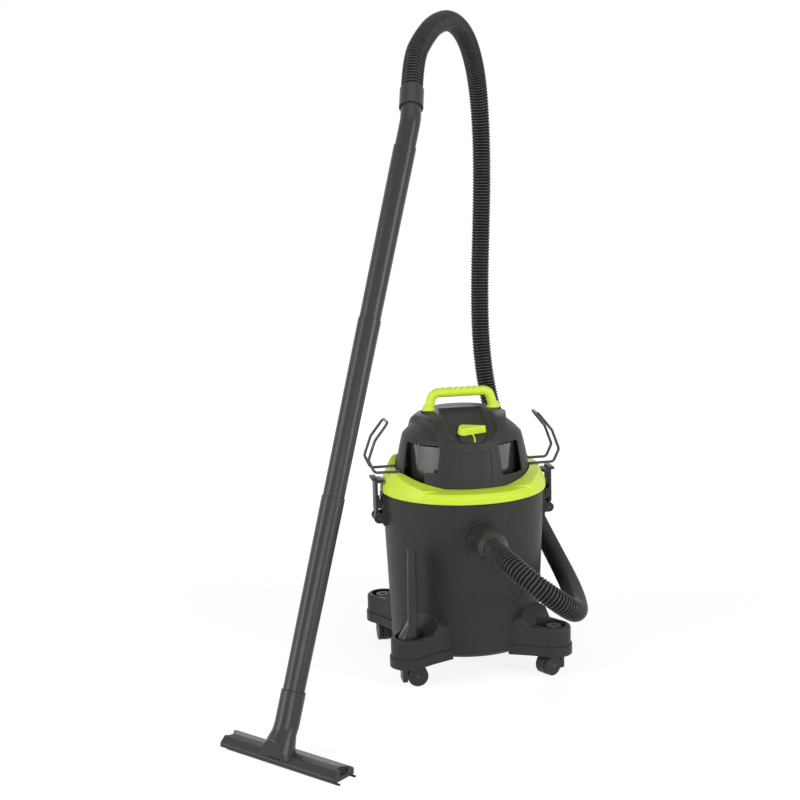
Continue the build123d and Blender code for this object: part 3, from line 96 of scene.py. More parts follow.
class Slot(Enum):
    """The record's material slots."""

    CHARCOAL = "charcoal"
    LIME = "lime"
    BLACK_GLOSS = "black_gloss"
    BLACK_PLASTIC = "black_plastic"
    HOSE_BLACK = "hose_black"
    SEAL_RUBBER = "seal_rubber"
    WIRE = "wire"
    STEEL = "steel"
    MOTOR_STEEL = "motor_steel"
    FILTER_CLOTH = "filter_cloth"
    CASTER_BLACK = "caster_black"
    CASTER_GREY = "caster_grey"


class Term:
    """A shader socket that takes part in arithmetic."""

    def __init__(self, graph: Graph, socket: bpy.types.NodeSocket) -> None:
        """Keeps the socket and the graph that it is in."""
        self.graph = graph
        self.socket = socket

    def _math(self, operation: str, first: Value, second: Value) -> Term:
        """Adds one Math node.

        Args:
            operation: the Math node's operation.
            first: its first value.
            second: its second value.

        Returns:
            The node's result.
        """
        return self.graph.node("ShaderNodeMath", {"operation": operation}, {0: first, 1: second})

    def __add__(self, other: Value) -> Term:
        """This plus other."""
        return self._math("ADD", self, other)

    def __radd__(self, other: Value) -> Term:
        """Other plus this."""
        return self._math("ADD", other, self)

    def __sub__(self, other: Value) -> Term:
        """This minus other."""
        return self._math("SUBTRACT", self, other)

    def __rsub__(self, other: Value) -> Term:
        """Other minus this."""
        return self._math("SUBTRACT", other, self)

    def __mul__(self, other: Value) -> Term:
        """This times other."""
        return self._math("MULTIPLY", self, other)

    def __rmul__(self, other: Value) -> Term:
        """Other times this."""
        return self._math("MULTIPLY", other, self)

    def at_most(self, other: Value) -> Term:
        """The smaller of this and other."""
        return self._math("MINIMUM", self, other)


@dataclass(frozen=True)
class Noise:
    """One noise pattern: features for each metre, octaves, their weight, and a stretch along the axes."""

    scale: float
    detail: float
    rough: float
    stretch: Point | None = None


class Graph:
    """A node tree that is filled by calls."""

    def __init__(self, tree: bpy.types.NodeTree) -> None:
        """Empties the tree.

        Args:
            tree: a material's or the world's node tree.
        """
        self.tree = tree
        self.tree.nodes.clear()

    def _make(self, kind: str, settings: dict, sockets: dict) -> bpy.types.Node:
        """Adds a node, its settings first and its sockets after them.

        Args:
            kind: the node's type.
            settings: attributes by name.
            sockets: values or terms by input name or number.

        Returns:
            The node.
        """
        made = self.tree.nodes.new(kind)
        for key, value in settings.items():
            setattr(made, key, value)
        for key, value in sockets.items():
            if isinstance(value, Term):
                self.tree.links.new(value.socket, made.inputs[key])
            else:
                made.inputs[key].default_value = value
        return made

    def node(self, kind: str, settings: dict, sockets: dict, output: int | str = 0) -> Term:
        """Adds a node and gives one of its outputs.

        Args:
            kind: the node's type.
            settings: attributes by name.
            sockets: values or terms by input name or number.
            output: the output's name or number.

        Returns:
            That output.
        """
        return Term(self, self._make(kind, settings, sockets).outputs[output])

    def close(self, kind: str, surface: Term) -> None:
        """Adds the output node, fed by a surface."""
        self._make(kind, {}, {"Surface": surface})

    def place(self) -> Term:
        """Object coordinates."""
        return self.node("ShaderNodeTexCoord", {}, {}, "Object")

    def attribute(self, name: str) -> Term:
        """A number that the mesh carries."""
        return self.node("ShaderNodeAttribute", {"attribute_name": name}, {}, "Fac")

    def noise(self, pattern: Noise) -> Term:
        """Noise around one half.

        Args:
            pattern: its size, octaves and stretch.

        Returns:
            The noise's value.
        """
        where = self.place()
        if pattern.stretch is not None:
            where = self.node("ShaderNodeMapping", {}, {"Vector": where, "Scale": pattern.stretch})
        sockets = {
            "Vector": where,
            "Scale": pattern.scale,
            "Detail": pattern.detail,
            "Roughness": pattern.rough,
        }
        return self.node("ShaderNodeTexNoise", {"noise_dimensions": "3D"}, sockets)

    @staticmethod
    def swing(noise: Term, amount: float) -> Term:
        """How far a noise is from its middle, times an amount."""
        return (noise - 0.5) * amount

    def ramp(self, value: Term, band: Band) -> Term:
        """A value that rises from 0 at the band's low end to 1 at its high end, smoothly."""
        settings = {"interpolation_type": "SMOOTHSTEP"}
        sockets = {"Value": value, "From Min": band[0], "From Max": band[1], "To Min": 0.0, "To Max": 1.0}
        return self.node("ShaderNodeMapRange", settings, sockets)

    def mixed(self, share: Value, first: Value, second: Value) -> Term:
        """Two colours mixed by a share."""
        pair = [c if isinstance(c, Term) else (*c, 1.0) for c in (first, second)]
        return self.node("ShaderNodeMix", {"data_type": "RGBA"}, {0: share, 6: pair[0], 7: pair[1]}, 2)

    def bump(self, height: Term, depth: float) -> Term:
        """A normal from a height between 0 and 1 that stands for a depth in metres."""
        return self.node("ShaderNodeBump", {}, {"Height": height, "Distance": depth, "Strength": 1.0})

    def skin(self, sockets: dict[str, Value]) -> Term:
        """A Principled shader with these sockets."""
        return self.node("ShaderNodeBsdfPrincipled", {}, sockets)


def shade(colour: Colour, factor: float) -> Colour:
    """A colour made lighter or darker.

    Args:
        colour: linear red, green and blue.
        factor: what each is multiplied by.

    Returns:
        The new colour, at most 1 in each part.
    """
    return tuple(min(1.0, part * factor) for part in colour)


@dataclass(frozen=True)
class Finish:
    """What every finish has: its material's name and its main colour."""

    name: str
    colour: Colour

    def build(self) -> bpy.types.Material:
        """Makes the material.

        Returns:
            A material with this finish's nodes.
        """
        material = bpy.data.materials.new(self.name)
        material.use_nodes = True
        material.diffuse_color = (*self.colour, 1.0)
        graph = Graph(material.node_tree)
        graph.close("ShaderNodeOutputMaterial", self.surface(graph))
        return material

    def surface(self, graph: Graph) -> Term:
        """The finish's shader, which each kind of finish gives."""
        raise NotImplementedError


@dataclass(frozen=True)
class MouldedPlastic(Finish):
    """Injection-moulded plastic: spark-eroded grain, faint flow mottle, and rounded edges painted lighter,
    partly as rub wear and partly as a painted highlight.
    """

    roughness: float = 0.5
    rough_swing: float = 0.16
    speck_swing: float = 0.08
    flow: Noise = Noise(7.0, 3.0, 0.6, (1.0, 1.0, 0.35))
    speck: Noise = Noise(420.0, 2.0, 0.5)
    scuff: Noise = Noise(38.0, 5.0, 0.68)
    grain: Noise = Noise(1100.0, 2.0, 0.5)
    fine_grain: Noise = Noise(2600.0, 1.0, 0.5)
    grain_share: float = 0.75
    grain_depth: float = 0.00016
    mottle: float = 0.10
    mottle_band: Band = (0.36, 0.64)
    flow_share: float = 0.7
    # How much lighter the rounded edges are painted, for rub wear and a painted highlight.
    rubbed: float = 1.5
    rub_and_highlight_share: float = 0.55
    rub_band: Band = (0.34, 0.62)
    rub_polish: float = 0.10
    specular: float = 0.4
    coat: float = 0.0
    coat_roughness: float = 0.25
    dust: float = 0.05
    dust_band: Band = (0.56, 0.78)
    dust_shade: float = 3.0

    def surface(self, graph: Graph) -> Term:
        """Grain as bump, mottle in the colour, scuffs in the gloss, and edges painted lighter as rub wear and
        a painted highlight.

        Args:
            graph: where the nodes go.

        Returns:
            The shader.
        """
        flow = graph.noise(self.flow)
        speck = graph.noise(self.speck)
        scuff = graph.noise(self.scuff)
        tone = graph.mixed(
            graph.ramp(flow * self.flow_share + speck * (1.0 - self.flow_share), self.mottle_band),
            shade(self.colour, 1.0 - self.mottle),
            shade(self.colour, 1.0 + self.mottle),
        )
        bloom = graph.ramp(scuff, self.dust_band) * self.dust
        tone = graph.mixed(bloom, tone, shade(self.colour, self.dust_shade))
        # Rounded edges painted lighter: partly rub wear, partly a painted highlight where edges catch the
        # lamps.
        worn_and_highlit = graph.attribute(WEAR_AND_HIGHLIGHT_LAYER) * graph.ramp(scuff, self.rub_band) * self.rub_and_highlight_share
        tone = graph.mixed(worn_and_highlit, tone, shade(self.colour, self.rubbed))
        scuffed = self.roughness + graph.swing(scuff, self.rough_swing)
        rough = scuffed + graph.swing(speck, self.speck_swing) - worn_and_highlit * self.rub_polish
        coarse = graph.noise(self.grain) * self.grain_share
        grain = coarse + graph.noise(self.fine_grain) * (1.0 - self.grain_share)
        return graph.skin(
            {
                "Base Color": tone,
                "Roughness": rough,
                "Specular IOR Level": self.specular,
                "Coat Weight": self.coat,
                "Coat Roughness": self.coat_roughness,
                "Normal": graph.bump(grain, self.grain_depth),
            }
        )


@dataclass(frozen=True)
class HoseVinyl(Finish):
    """Blow-moulded hose: painted shade darkens the valleys and a painted highlight lightens the crests."""

    streak: Noise = Noise(90.0, 4.0, 0.6)
    grain: Noise = Noise(1500.0, 2.0, 0.5)
    grain_depth: float = 0.00010
    # Painted shade in the valleys and a painted highlight on the crests, as factors on the colour.
    valley_painted_shade: float = 0.3
    crest_painted_highlight: float = 3.8
    crest_band: Band = (0.45, 1.05)
    crest_swing: float = 0.3
    crest_polish: float = 0.20
    crest_coat: float = 0.6
    dust_band: Band = (0.55, 0.8)
    dust: float = 0.12
    dust_shade: float = 4.0
    roughness: float = 0.56
    rough_swing: float = 0.12
    specular: float = 0.12
    coat_roughness: float = 0.32

    def surface(self, graph: Graph) -> Term:
        """Colour and gloss by the rib's height, with faint streaks; the colour is painted shade in the
        valleys and a painted highlight on the crests.

        Args:
            graph: where the nodes go.

        Returns:
            The shader.
        """
        streak = graph.noise(self.streak)
        height = graph.attribute(RIB_LAYER) + graph.swing(streak, self.crest_swing)
        crest = graph.ramp(height, self.crest_band)
        # Painted shade darkens the rib valleys and a painted highlight lightens the crests.
        tone = graph.mixed(crest, shade(self.colour, self.valley_painted_shade), shade(self.colour, self.crest_painted_highlight))
        dust = graph.ramp(streak, self.dust_band) * self.dust
        tone = graph.mixed(dust, tone, shade(self.colour, self.dust_shade))
        rough = self.roughness - crest * self.crest_polish + graph.swing(streak, self.rough_swing)
        return graph.skin(
            {
                "Base Color": tone,
                "Roughness": rough,
                "Specular IOR Level": self.specular,
                "Coat Weight": crest * self.crest_coat,
                "Coat Roughness": self.coat_roughness,
                "Normal": graph.bump(graph.noise(self.grain), self.grain_depth),
            }
        )


@dataclass(frozen=True)
class SealRubber(Finish):
    """Matte rubber with a dusty bloom."""

    cloud: Noise = Noise(55.0, 4.0, 0.65)
    pore: Noise = Noise(800.0, 3.0, 0.6)
    pore_depth: float = 0.00014
    bloom_band: Band = (0.4, 0.75)
    bloom_shade: float = 1.9
    rub_band: Band = (0.35, 0.6)
    rub_and_highlight_share: float = 0.5
    # How much lighter the rounded edges are painted, for rub wear and a painted highlight.
    rubbed: float = 3.0
    roughness: float = 0.74
    rough_swing: float = 0.2
    specular: float = 0.3

    def surface(self, graph: Graph) -> Term:
        """Bloom in the colour, edges painted lighter as rub wear and a painted highlight, and a leathery
        bump.

        Args:
            graph: where the nodes go.

        Returns:
            The shader.
        """
        cloud = graph.noise(self.cloud)
        bloom = graph.ramp(cloud, self.bloom_band)
        tone = graph.mixed(bloom, self.colour, shade(self.colour, self.bloom_shade))
        # Rounded edges painted lighter: partly rub wear, partly a painted highlight.
        worn_and_highlit = graph.attribute(WEAR_AND_HIGHLIGHT_LAYER) * graph.ramp(cloud, self.rub_band) * self.rub_and_highlight_share
        return graph.skin(
            {
                "Base Color": graph.mixed(worn_and_highlit, tone, shade(self.colour, self.rubbed)),
                "Roughness": self.roughness + graph.swing(cloud, self.rough_swing),
                "Specular IOR Level": self.specular,
                "Normal": graph.bump(graph.noise(self.pore), self.pore_depth),
            }
        )


@dataclass(frozen=True)
class CoatedWire(Finish):
    """Dip-coated wire: orange peel under a satin skin, and rubbed patches."""

    peel: Noise = Noise(420.0, 2.0, 0.5)
    peel_depth: float = 0.00020
    patch: Noise = Noise(70.0, 4.0, 0.6)
    patch_band: Band = (0.5, 0.75)
    rubbed: float = 2.4
    roughness: float = 0.36
    rough_swing: float = 0.2
    specular: float = 0.5
    coat: float = 0.2
    coat_roughness: float = 0.2

    def surface(self, graph: Graph) -> Term:
        """Peel as bump, rubbed patches in colour and gloss.

        Args:
            graph: where the nodes go.

        Returns:
            The shader.
        """
        patch = graph.noise(self.patch)
        share = graph.ramp(patch, self.patch_band)
        return graph.skin(
            {
                "Base Color": graph.mixed(share, self.colour, shade(self.colour, self.rubbed)),
                "Roughness": self.roughness + graph.swing(patch, self.rough_swing),
                "Specular IOR Level": self.specular,
                "Coat Weight": self.coat,
                "Coat Roughness": self.coat_roughness,
                "Normal": graph.bump(graph.noise(self.peel), self.peel_depth),
            }
        )


@dataclass(frozen=True)
class TurnedSteel(Finish):
    """Steel with fine turning marks round the upright axis and a little staining."""

    roughness: float = 0.3
    metallic: float = 1.0
    lines: Noise = Noise(160.0, 3.0, 0.6, (0.4, 0.4, 14.0))
    line_depth: float = 0.00004
    line_swing: float = 0.12
    stain: Noise = Noise(45.0, 5.0, 0.65)
    stain_band: Band = (0.45, 0.8)
    stain_shade: float = 0.72
    stain_swing: float = 0.2

    def surface(self, graph: Graph) -> Term:
        """Lines as bump, stains in colour and gloss.

        Args:
            graph: where the nodes go.

        Returns:
            The shader.
        """
        lines = graph.noise(self.lines)
        stain = graph.noise(self.stain)
        share = graph.ramp(stain, self.stain_band)
        stained = self.roughness + graph.swing(stain, self.stain_swing)
        return graph.skin(
            {
                "Base Color": graph.mixed(share, self.colour, shade(self.colour, self.stain_shade)),
                "Metallic": self.metallic,
                "Roughness": stained + graph.swing(lines, self.line_swing),
                "Normal": graph.bump(lines, self.line_depth),
            }
        )


@dataclass(frozen=True)
class FilterCloth(Finish):
    """Pressed filter felt with loose fibres and dust in broad patches."""

    fibre: Noise = Noise(900.0, 4.0, 0.7, (1.0, 1.0, 0.25))
    fibre_depth: float = 0.0003
    fibre_band: Band = (0.3, 0.7)
    fibre_shade: float = 0.82
    dust: Noise = Noise(28.0, 4.0, 0.6)
    dust_band: Band = (0.45, 0.75)
    dust_share: float = 0.45
    dust_colour: Colour = (0.42, 0.39, 0.33)
    roughness: float = 0.88
    rough_swing: float = 0.1
    specular: float = 0.15
    sheen: float = 0.2

    def surface(self, graph: Graph) -> Term:
        """Fibres as bump and colour, dust in the colour.

        Args:
            graph: where the nodes go.

        Returns:
            The shader.
        """
        fibre = graph.noise(self.fibre)
        lint = graph.ramp(fibre, self.fibre_band)
        tone = graph.mixed(lint, shade(self.colour, self.fibre_shade), self.colour)
        dust = graph.ramp(graph.noise(self.dust), self.dust_band) * self.dust_share
        return graph.skin(
            {
                "Base Color": graph.mixed(dust, tone, self.dust_colour),
                "Roughness": self.roughness + graph.swing(fibre, self.rough_swing),
                "Specular IOR Level": self.specular,
                "Sheen Weight": self.sheen,
                "Normal": graph.bump(fibre, self.fibre_depth),
            }
        )


FINISHES: dict[Slot, Finish] = {
    Slot.CHARCOAL: MouldedPlastic("charcoal_moulding", (0.036, 0.036, 0.0335), roughness=0.46, specular=0.13),
    Slot.LIME: MouldedPlastic(
        "lime_moulding", (0.610, 0.810, 0.048), roughness=0.42, mottle=0.035, rubbed=1.15, dust=0.0,
        grain_depth=0.00008, specular=0.3, coat=0.05,
    ),
    Slot.BLACK_GLOSS: MouldedPlastic(
        "black_gloss_moulding", (0.030, 0.030, 0.029), roughness=0.16, rough_swing=0.08, mottle=0.05,
        grain_depth=0.00002, specular=0.7, coat=0.8, dust=0.03,
    ),
    Slot.BLACK_PLASTIC: MouldedPlastic(
        "tube_moulding", (0.030, 0.030, 0.028), roughness=0.30, grain_depth=0.00010, mottle=0.08,
        specular=0.26,
    ),
    Slot.HOSE_BLACK: HoseVinyl("hose_vinyl", (0.011, 0.011, 0.0105)),
    Slot.SEAL_RUBBER: SealRubber("seal_rubber_bloom", (0.018, 0.018, 0.018)),
    Slot.WIRE: CoatedWire("coated_wire", (0.022, 0.022, 0.021)),
    Slot.STEEL: TurnedSteel("turned_steel", (0.55, 0.55, 0.55)),
    Slot.MOTOR_STEEL: TurnedSteel("motor_can_steel", (0.20, 0.20, 0.20), roughness=0.45, metallic=0.6),
    Slot.FILTER_CLOTH: FilterCloth("filter_felt", (0.75, 0.73, 0.68)),
    Slot.CASTER_BLACK: MouldedPlastic(
        "caster_hood_moulding", (0.027, 0.027, 0.025), roughness=0.42, mottle=0.08, dust=0.10, specular=0.22,
    ),
    Slot.CASTER_GREY: MouldedPlastic(
        "caster_wheel_moulding", (0.028, 0.028, 0.026), roughness=0.5, mottle=0.12, dust=0.12, rubbed=1.8,
        specular=0.2,
    ),
}


@dataclass(frozen=True)
class Ease:
    """One pass of rounding over a piece's corners, past a low point where one is given."""

    radius: float
    segments: int = 3
    low: Point = (-FAR, -FAR, -FAR)
    outer_only: bool = False

    def takes(self, edge: bmesh.types.BMEdge) -> bool:
        """Whether an edge is a corner past the low point, and stands out where only such are wanted."""
        if len(edge.link_faces) != 2 or edge.calc_face_angle(0.0) < CORNER_ANGLE:
            return False
        if self.outer_only and not edge.is_convex:
            return False
        return all(least <= part for vert in edge.verts for least, part in zip(self.low, vert.co))


class Workshop:
    """The frame, the finishes and what every sub-assembly does with them."""

    def __init__(self, frame: dict) -> None:
        """Builds the finishes.
        """
        self.nodes: dict[str, bpy.types.Object] = frame["nodes"]
        record = frame["record"]
        self.slots = {part["node"]: Slot(part["material_slot"]) for part in record["subparts"]}
        bodies = record["behaviour"]["bodies"]
        self.bodies = {node: body for body, members in bodies.items() for node in members}
        self.materials = {slot: finish.build() for slot, finish in FINISHES.items()}

    def paint_frame(self) -> None:
        """Gives every CAD node its slot's finish."""
        for name, obj in self.nodes.items():
            obj.data.materials.clear()
            obj.data.materials.append(self.materials[self.slots[name]])

    def add(self, name: str, mesh: bmesh.types.BMesh, node: str) -> bpy.types.Object:
        """Makes a piece that stands for a CAD node and rides on its body.

        Args:
            name: the piece's name.
            mesh: its shape, which is freed.
            node: the CAD node.

        Returns:
            The piece.
        """
        data = bpy.data.meshes.new(name)
        mesh.to_mesh(data)
        mesh.free()
        piece = bpy.data.objects.new(name, data)
        bpy.context.scene.collection.objects.link(piece)
        slot = self.slots[node]
        data.materials.append(self.materials[slot])
        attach(piece, self.bodies[node])
        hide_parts(node)
        LOG.info("%s: %d faces for %s", name, len(data.polygons), node)
        return piece

    def merged(self, node: str) -> bmesh.types.BMesh:
        """A CAD node's shape with its triangles joined into whole faces.

        Args:
            node: the CAD node.

        Returns:
            The shape.
        """
        mesh = bmesh.new()
        mesh.from_mesh(self.nodes[node].data)
        bmesh.ops.remove_doubles(mesh, verts=mesh.verts, dist=MERGE_DISTANCE)
        bmesh.ops.dissolve_limit(
            mesh, angle_limit=FLAT_ANGLE, use_dissolve_boundaries=False, verts=mesh.verts, edges=mesh.edges,
        )
        return mesh

    def eased(self, node: str, *passes: Ease) -> bpy.types.Object:
        """A copy of a CAD node with its corners rounded.

        Args:
            node: the CAD node.
            passes: the roundings, in order.

        Returns:
            The piece.
        """
        mesh = self.merged(node)
        # Marks the rounded faces, which the finishes paint lighter as rub wear and a painted highlight.
        worn_and_highlit = mesh.faces.layers.float.new(WEAR_AND_HIGHLIGHT_LAYER)
        for ease in passes:
            corners = [edge for edge in mesh.edges if ease.takes(edge)]
            made = bmesh.ops.bevel(
                mesh, geom=corners, offset=ease.radius, offset_type="OFFSET", segments=ease.segments,
                profile=ROUND_PROFILE, affect="EDGES", material=-1, clamp_overlap=False, loop_slide=True,
            )
            for face in made["faces"]:
                face[worn_and_highlit] = 1.0
        smooth(mesh)
        piece = self.add(f"{node}_eased", mesh, node)
        even_normals(piece)
        return piece


def smooth(mesh: bmesh.types.BMesh) -> None:
    """Shades every face smoothly, except across sharp corners."""
    for face in mesh.faces:
        face.smooth = True
    for edge in mesh.edges:
        edge.smooth = len(edge.link_faces) == 2 and edge.calc_face_angle(0.0) < SHARP_ANGLE


def even_normals(piece: bpy.types.Object) -> None:
    """Lets large faces set the shading of the rounded corners beside them."""
    modifier = piece.modifiers.new("even_normals", "WEIGHTED_NORMAL")
    modifier.keep_sharp = True
    modifier.weight = NORMAL_WEIGHT


@dataclass
class Hose:
    """The corrugated hose from the inlet cuff to the wand's cuff."""

    route_mm: tuple[Point, ...] = (
        (0, -246, 272), (0, -314, 272), (37, -361, 241), (89, -361, 199), (125, -314, 170),
        (152, -228, 154), (174, -132, 148), (189, -36, 150), (194, 56, 167), (183, 134, 212),
        (158, 182, 288), (128, 210, 374), (106, 233, 467), (100, 257, 570), (105, 278, 681),
        (114, 295, 792), (120, 303, 902), (118, 297, 1010), (103, 265, 1105), (70, 203, 1169),
        (22, 120, 1193), (-27, 33, 1176), (-62, -36, 1145), (-91.8, -92.2, 1106.9),
        (-102.7, -129.6, 1051.1),
    )
    crest_radius: float = 19.0 * MM
    rib_depth: float = 2.4 * MM
    rib_pitch: float = 6.0 * MM
    rings_per_rib: int = 6
    around: int = 26
    samples: int = 32
    spline_order: int = 3
    crest_sharpness: float = 1.15

    def centreline(self) -> list[Vector]:
        """The points of a smooth spline whose control points are the route.

        Returns:
            The points, from the inlet to the wand.
        """
        curve = bpy.data.curves.new("hose_line", "CURVE")
        curve.dimensions = "3D"
        curve.resolution_u = self.samples
        spline = curve.splines.new("NURBS")
        spline.points.add(len(self.route_mm) - 1)
        for point, place in zip(spline.points, self.route_mm):
            point.co = (*(part * MM for part in place), 1.0)
        spline.order_u = self.spline_order
        spline.use_endpoint_u = True
        holder = bpy.data.objects.new("hose_line", curve)
        line = bpy.data.meshes.new_from_object(holder)
        points = [vert.co.copy() for vert in line.vertices]
        bpy.data.objects.remove(holder)
        bpy.data.curves.remove(curve)
        bpy.data.meshes.remove(line)
        return points

    @staticmethod
    def stations(points: list[Vector], count: int) -> list[Matrix]:
        """Frames at even steps along the line, turned as little as it allows.

        Args:
            points: the line.
            count: how many steps.

        Returns:
            One frame for each station, Z along the line.
        """
        runs = [(b - a).length for a, b in zip(points, points[1:])]
        step = sum(runs) / count
        frames = []
        turn = UP.rotation_difference(points[1] - points[0])
        index, walked = 0, 0.0
        for number in range(count + 1):
            target = number * step
            while index < len(runs) - 1 and walked + runs[index] < target:
                walked += runs[index]
                index += 1
            share = min(1.0, (target - walked) / runs[index])
            ahead = points[index + 1] - points[index]
            behind = points[index] - points[index - 1] if index else ahead
            after = points[index + 2] - points[index + 1] if index + 2 < len(points) else ahead
            tangent = (behind + ahead).lerp(ahead + after, share).normalized()
            turn = (turn @ UP).rotation_difference(tangent) @ turn
            place = points[index].lerp(points[index + 1], share)
            frames.append(Matrix.LocRotScale(place, turn, None))
        return frames

    def build(self, shop: Workshop, cuffs: Iterable[bpy.types.Object]) -> None:
        """Args:
            shop: the frame and finishes.
            cuffs: the pieces on the hose's ends. Not used.
        """
        points = self.centreline()
        length = sum((b - a).length for a, b in zip(points, points[1:]))
        ribs = round(length / self.rib_pitch)
        frames = self.stations(points, ribs * self.rings_per_rib)
        mesh = bmesh.new()
        bmesh.ops.create_grid(mesh, x_segments=self.around, y_segments=len(frames) - 1, size=1.0)
        height = mesh.verts.layers.float.new(RIB_LAYER)
        for vert in mesh.verts:
            turn = (vert.co.x + 1.0) * math.pi
            number = round((vert.co.y + 1.0) / 2.0 * (len(frames) - 1))
            phase = number / self.rings_per_rib * math.tau
            rise = (0.5 - 0.5 * math.cos(phase)) ** self.crest_sharpness
            radius = self.crest_radius - self.rib_depth * (1.0 - rise)
            vert[height] = rise
            vert.co = frames[number] @ Vector((radius * math.cos(turn), radius * math.sin(turn), 0.0))
        bmesh.ops.remove_doubles(mesh, verts=mesh.verts, dist=MERGE_DISTANCE)
        bmesh.ops.holes_fill(mesh, edges=[e for e in mesh.edges if e.is_boundary], sides=0)
        bmesh.ops.recalc_face_normals(mesh, faces=mesh.faces)
        for face in mesh.faces:
            face.smooth = len(face.verts) == 4
        piece = shop.add("ribbed_hose", mesh, "hose")


@dataclass
class Tank:
    """The tank with its inlet, latch brackets and latches."""

    corner: Ease = Ease(0.7 * MM)
    small: Ease = Ease(0.6 * MM, 2)
    latch: Ease = Ease(1.2 * MM)

    def build(self, shop: Workshop) -> None:
        """Eases the tank's mouldings."""
        shop.eased("tank_shell", self.corner)
        shop.eased("inlet_port", self.small)
        for side in ("left", "right"):
            shop.eased(f"latch_bracket_{side}", self.small)
            shop.eased(f"latch_{side}", self.latch)


@dataclass
class Feet:
    """The four feet, and the casters under them."""

    corners: tuple[str, ...] = ("front_left", "front_right", "rear_left", "rear_right")
    wheel: Ease = Ease(0.5 * MM, 2)

    def build(self, shop: Workshop) -> None:
        """Copies the feet with smooth shading and no rounding, and eases the caster hoods and the wheels."""
        for corner in self.corners:
            shop.eased(f"foot_{corner}")
            shop.eased(f"caster_hood_{corner}", self.wheel)
            shop.eased(f"caster_wheels_{corner}", self.wheel)


@dataclass
class Head:
    """The motor head: collar, cover, drum, handle, hooks and switch."""

    cover: Ease = Ease(1.0 * MM, outer_only=True)
    collar: Ease = Ease(0.5 * MM, 2)
    handle: Ease = Ease(0.7 * MM, 2, low=(-FAR, -FAR, 495.0 * MM))
    knob: Ease = Ease(1.0 * MM)
    outlet: Ease = Ease(0.5 * MM, outer_only=True)

    def build(self, shop: Workshop) -> None:
        """Eases the head's mouldings."""
        shop.eased("motor_cover", self.cover)
        shop.eased("collar_ring", self.collar)
        shop.eased("inner_drum", self.collar)
        shop.eased("carry_handle", self.handle)
        shop.eased("knob_skirt", self.collar)
        shop.eased("knob_grip", self.knob)
        shop.eased("blower_outlet", self.outlet)
        shop.eased("cord_gland", self.outlet)
        for side in ("left", "right"):
            shop.eased(f"hook_{side}", self.collar)


@dataclass
class Wand:
    """The wand: three tubes, the bent tube, the cuffs, the floor nozzle and the spare crevice tool."""

    tube: Ease = Ease(0.6 * MM)
    cuff: Ease = Ease(0.9 * MM)
    nozzle: Ease = Ease(1.0 * MM)

    def build(self, shop: Workshop) -> list[bpy.types.Object]:
        """Eases the wand's pieces.

        Args:
            shop: the frame and finishes.

        Returns:
            The pieces at the hose's two ends.
        """
        for place in ("upper", "middle", "lower"):
            shop.eased(f"wand_tube_{place}", self.tube)
        shop.eased("bent_tube", self.tube)
        shop.eased("nozzle_body", self.nozzle)
        shop.eased("hose_connector", self.cuff)
        shop.eased("crevice_tool")
        return [shop.eased("hose_cuff_inlet", self.cuff), shop.eased("hose_cuff_wand", self.cuff)]


@dataclass(frozen=True)
class Softbox:
    """One soft rectangular lamp: where it hangs, what it faces, its width and height, and its watts."""

    name: str
    place: Point
    target: Point
    size: tuple[float, float]
    power: float

    def hang(self) -> None:
        """Adds the lamp to the scene, out of the camera's sight."""
        data = bpy.data.lights.new(self.name, "AREA")
        data.shape = "RECTANGLE"
        data.size, data.size_y = self.size
        data.energy = self.power
        lamp = bpy.data.objects.new(self.name, data)
        lamp.location = self.place
        lamp.rotation_mode = "QUATERNION"
        lamp.rotation_quaternion = (Vector(self.target) - Vector(self.place)).to_track_quat("-Z", "Y")
        lamp.visible_camera = False
        bpy.context.scene.collection.objects.link(lamp)


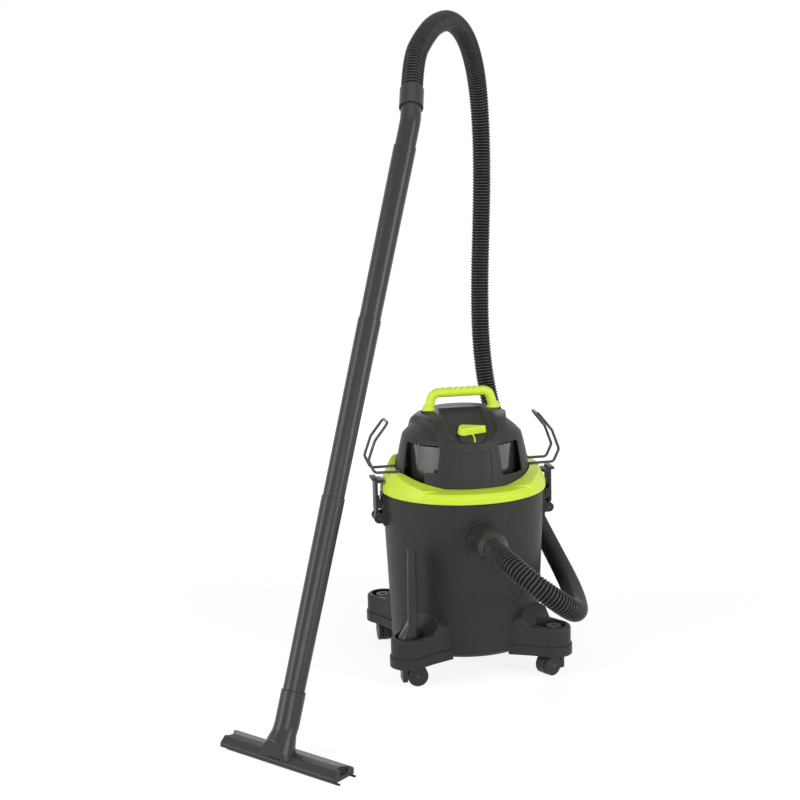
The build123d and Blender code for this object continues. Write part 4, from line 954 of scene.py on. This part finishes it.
@dataclass
class Studio:
    """The camera, the pale floor, the white surroundings and the lamps."""

    camera_place: Point = (-0.553204, -2.511935, 0.924160)
    forward: Point = (0.16958603, 0.97168414, -0.16453117)
    roll: float = math.radians(-1.54)
    lens_mm: float = 63.0
    sensor_mm: float = 36.0
    floor_half: float = 30.0
    floor_colour: Colour = (0.25, 0.25, 0.25)
    floor_bounce: Colour = (0.8, 0.8, 0.8)
    floor_glow: Colour = (0.86, 0.86, 0.86)
    floor_fade: Band = (0.5, 2.4)
    ambient: float = 0.13
    lamps: tuple[Softbox, ...] = (
        Softbox("left_softbox", (-2.9, -0.75, 1.1), (-0.1, -0.1, 0.5), (1.4, 2.2), 50.0),
        Softbox("right_softbox", (2.1, -2.2, 1.1), (-0.1, -0.1, 0.5), (0.8, 2.2), 50.0),
        Softbox("front_softbox", (-0.4, -3.3, 0.8), (0.0, 0.0, 0.45), (1.6, 0.8), 28.0),
        Softbox("rear_softbox", (0.5, 3.0, 1.7), (0.0, 0.0, 0.5), (2.0, 1.2), 14.0),
        Softbox("top_softbox", (0.0, -0.9, 3.1), (0.0, 0.0, 0.4), (2.2, 2.2), 17.0),
    )

    def build(self) -> None:
        """Sets up everything that isn't the object."""
        self.set_camera()
        self.set_world()
        self.set_floor()
        for lamp in self.lamps:
            lamp.hang()
        bpy.context.scene.view_settings.view_transform = "Standard"

    def set_camera(self) -> None:
        """Puts the camera where the photograph was taken from."""
        forward = Vector(self.forward).normalized()
        level = forward.cross(UP).normalized()
        right = Quaternion(-forward, self.roll) @ level
        up = right.cross(forward)
        data = bpy.data.cameras.new("photo_camera")
        data.lens = self.lens_mm
        data.sensor_width = self.sensor_mm
        camera = bpy.data.objects.new("photo_camera", data)
        turn = Matrix((right, up, -forward)).transposed()
        camera.matrix_world = Matrix.Translation(self.camera_place) @ turn.to_4x4()
        bpy.context.scene.collection.objects.link(camera)
        bpy.context.scene.camera = camera

    def set_world(self) -> None:
        """White where it is seen or mirrored, and soft light elsewhere."""
        world = bpy.data.worlds.new("studio_world")
        world.use_nodes = True
        bpy.context.scene.world = world
        graph = Graph(world.node_tree)
        seen = self.seen(graph)
        white = graph.node("ShaderNodeBackground", {}, {"Color": (*WHITE, 1.0), "Strength": 1.0})
        soft = graph.node("ShaderNodeBackground", {}, {"Color": (*WHITE, 1.0), "Strength": self.ambient})
        both = graph.node("ShaderNodeMixShader", {}, {0: seen, 1: soft, 2: white})
        graph.close("ShaderNodeOutputWorld", both)

    @staticmethod
    def seen(graph: Graph) -> Term:
        """1 for a ray from the camera, a mirror or a glass, else 0."""
        kinds = ("Camera", "Glossy", "Transmission")
        first, *others = (graph.node("ShaderNodeLightPath", {}, {}, f"Is {kind} Ray") for kind in kinds)
        return sum(others, first).at_most(1.0)

    def set_floor(self) -> None:
        """A pale floor that keeps the shadow and fades into the white surroundings."""
        mesh = bmesh.new()
        bmesh.ops.create_grid(mesh, x_segments=1, y_segments=1, size=self.floor_half)
        data = bpy.data.meshes.new("studio_floor")
        mesh.to_mesh(data)
        mesh.free()
        floor = bpy.data.objects.new("studio_floor", data)
        bpy.context.scene.collection.objects.link(floor)
        material = bpy.data.materials.new("studio_floor")
        material.use_nodes = True
        graph = Graph(material.node_tree)
        matte = graph.node("ShaderNodeBsdfDiffuse", {}, {"Color": (*self.floor_colour, 1.0)})
        pale = graph.node("ShaderNodeBsdfDiffuse", {}, {"Color": (*self.floor_bounce, 1.0)})
        reach = graph.node("ShaderNodeVectorMath", {"operation": "LENGTH"}, {0: graph.place()}, "Value")
        haze = graph.mixed(graph.ramp(reach, self.floor_fade), self.floor_glow, WHITE)
        glow = graph.node("ShaderNodeEmission", {}, {"Color": haze, "Strength": 1.0})
        lit = graph.node("ShaderNodeAddShader", {}, {0: matte, 1: glow})
        both = graph.node("ShaderNodeMixShader", {}, {0: self.seen(graph), 1: pale, 2: lit})
        graph.close("ShaderNodeOutputMaterial", both)
        data.materials.append(material)


def main() -> None:
    """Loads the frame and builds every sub-assembly."""
    logging.basicConfig(level=logging.INFO, format="%(message)s")
    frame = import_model()
    Studio().build()
    shop = Workshop(frame)
    shop.paint_frame()
    cuffs = Wand().build(shop)
    Hose().build(shop, cuffs)
    Tank().build(shop)
    Feet().build(shop)
    Head().build(shop)
    bpy.context.view_layer.update()


if __name__ == "__main__":
    main()
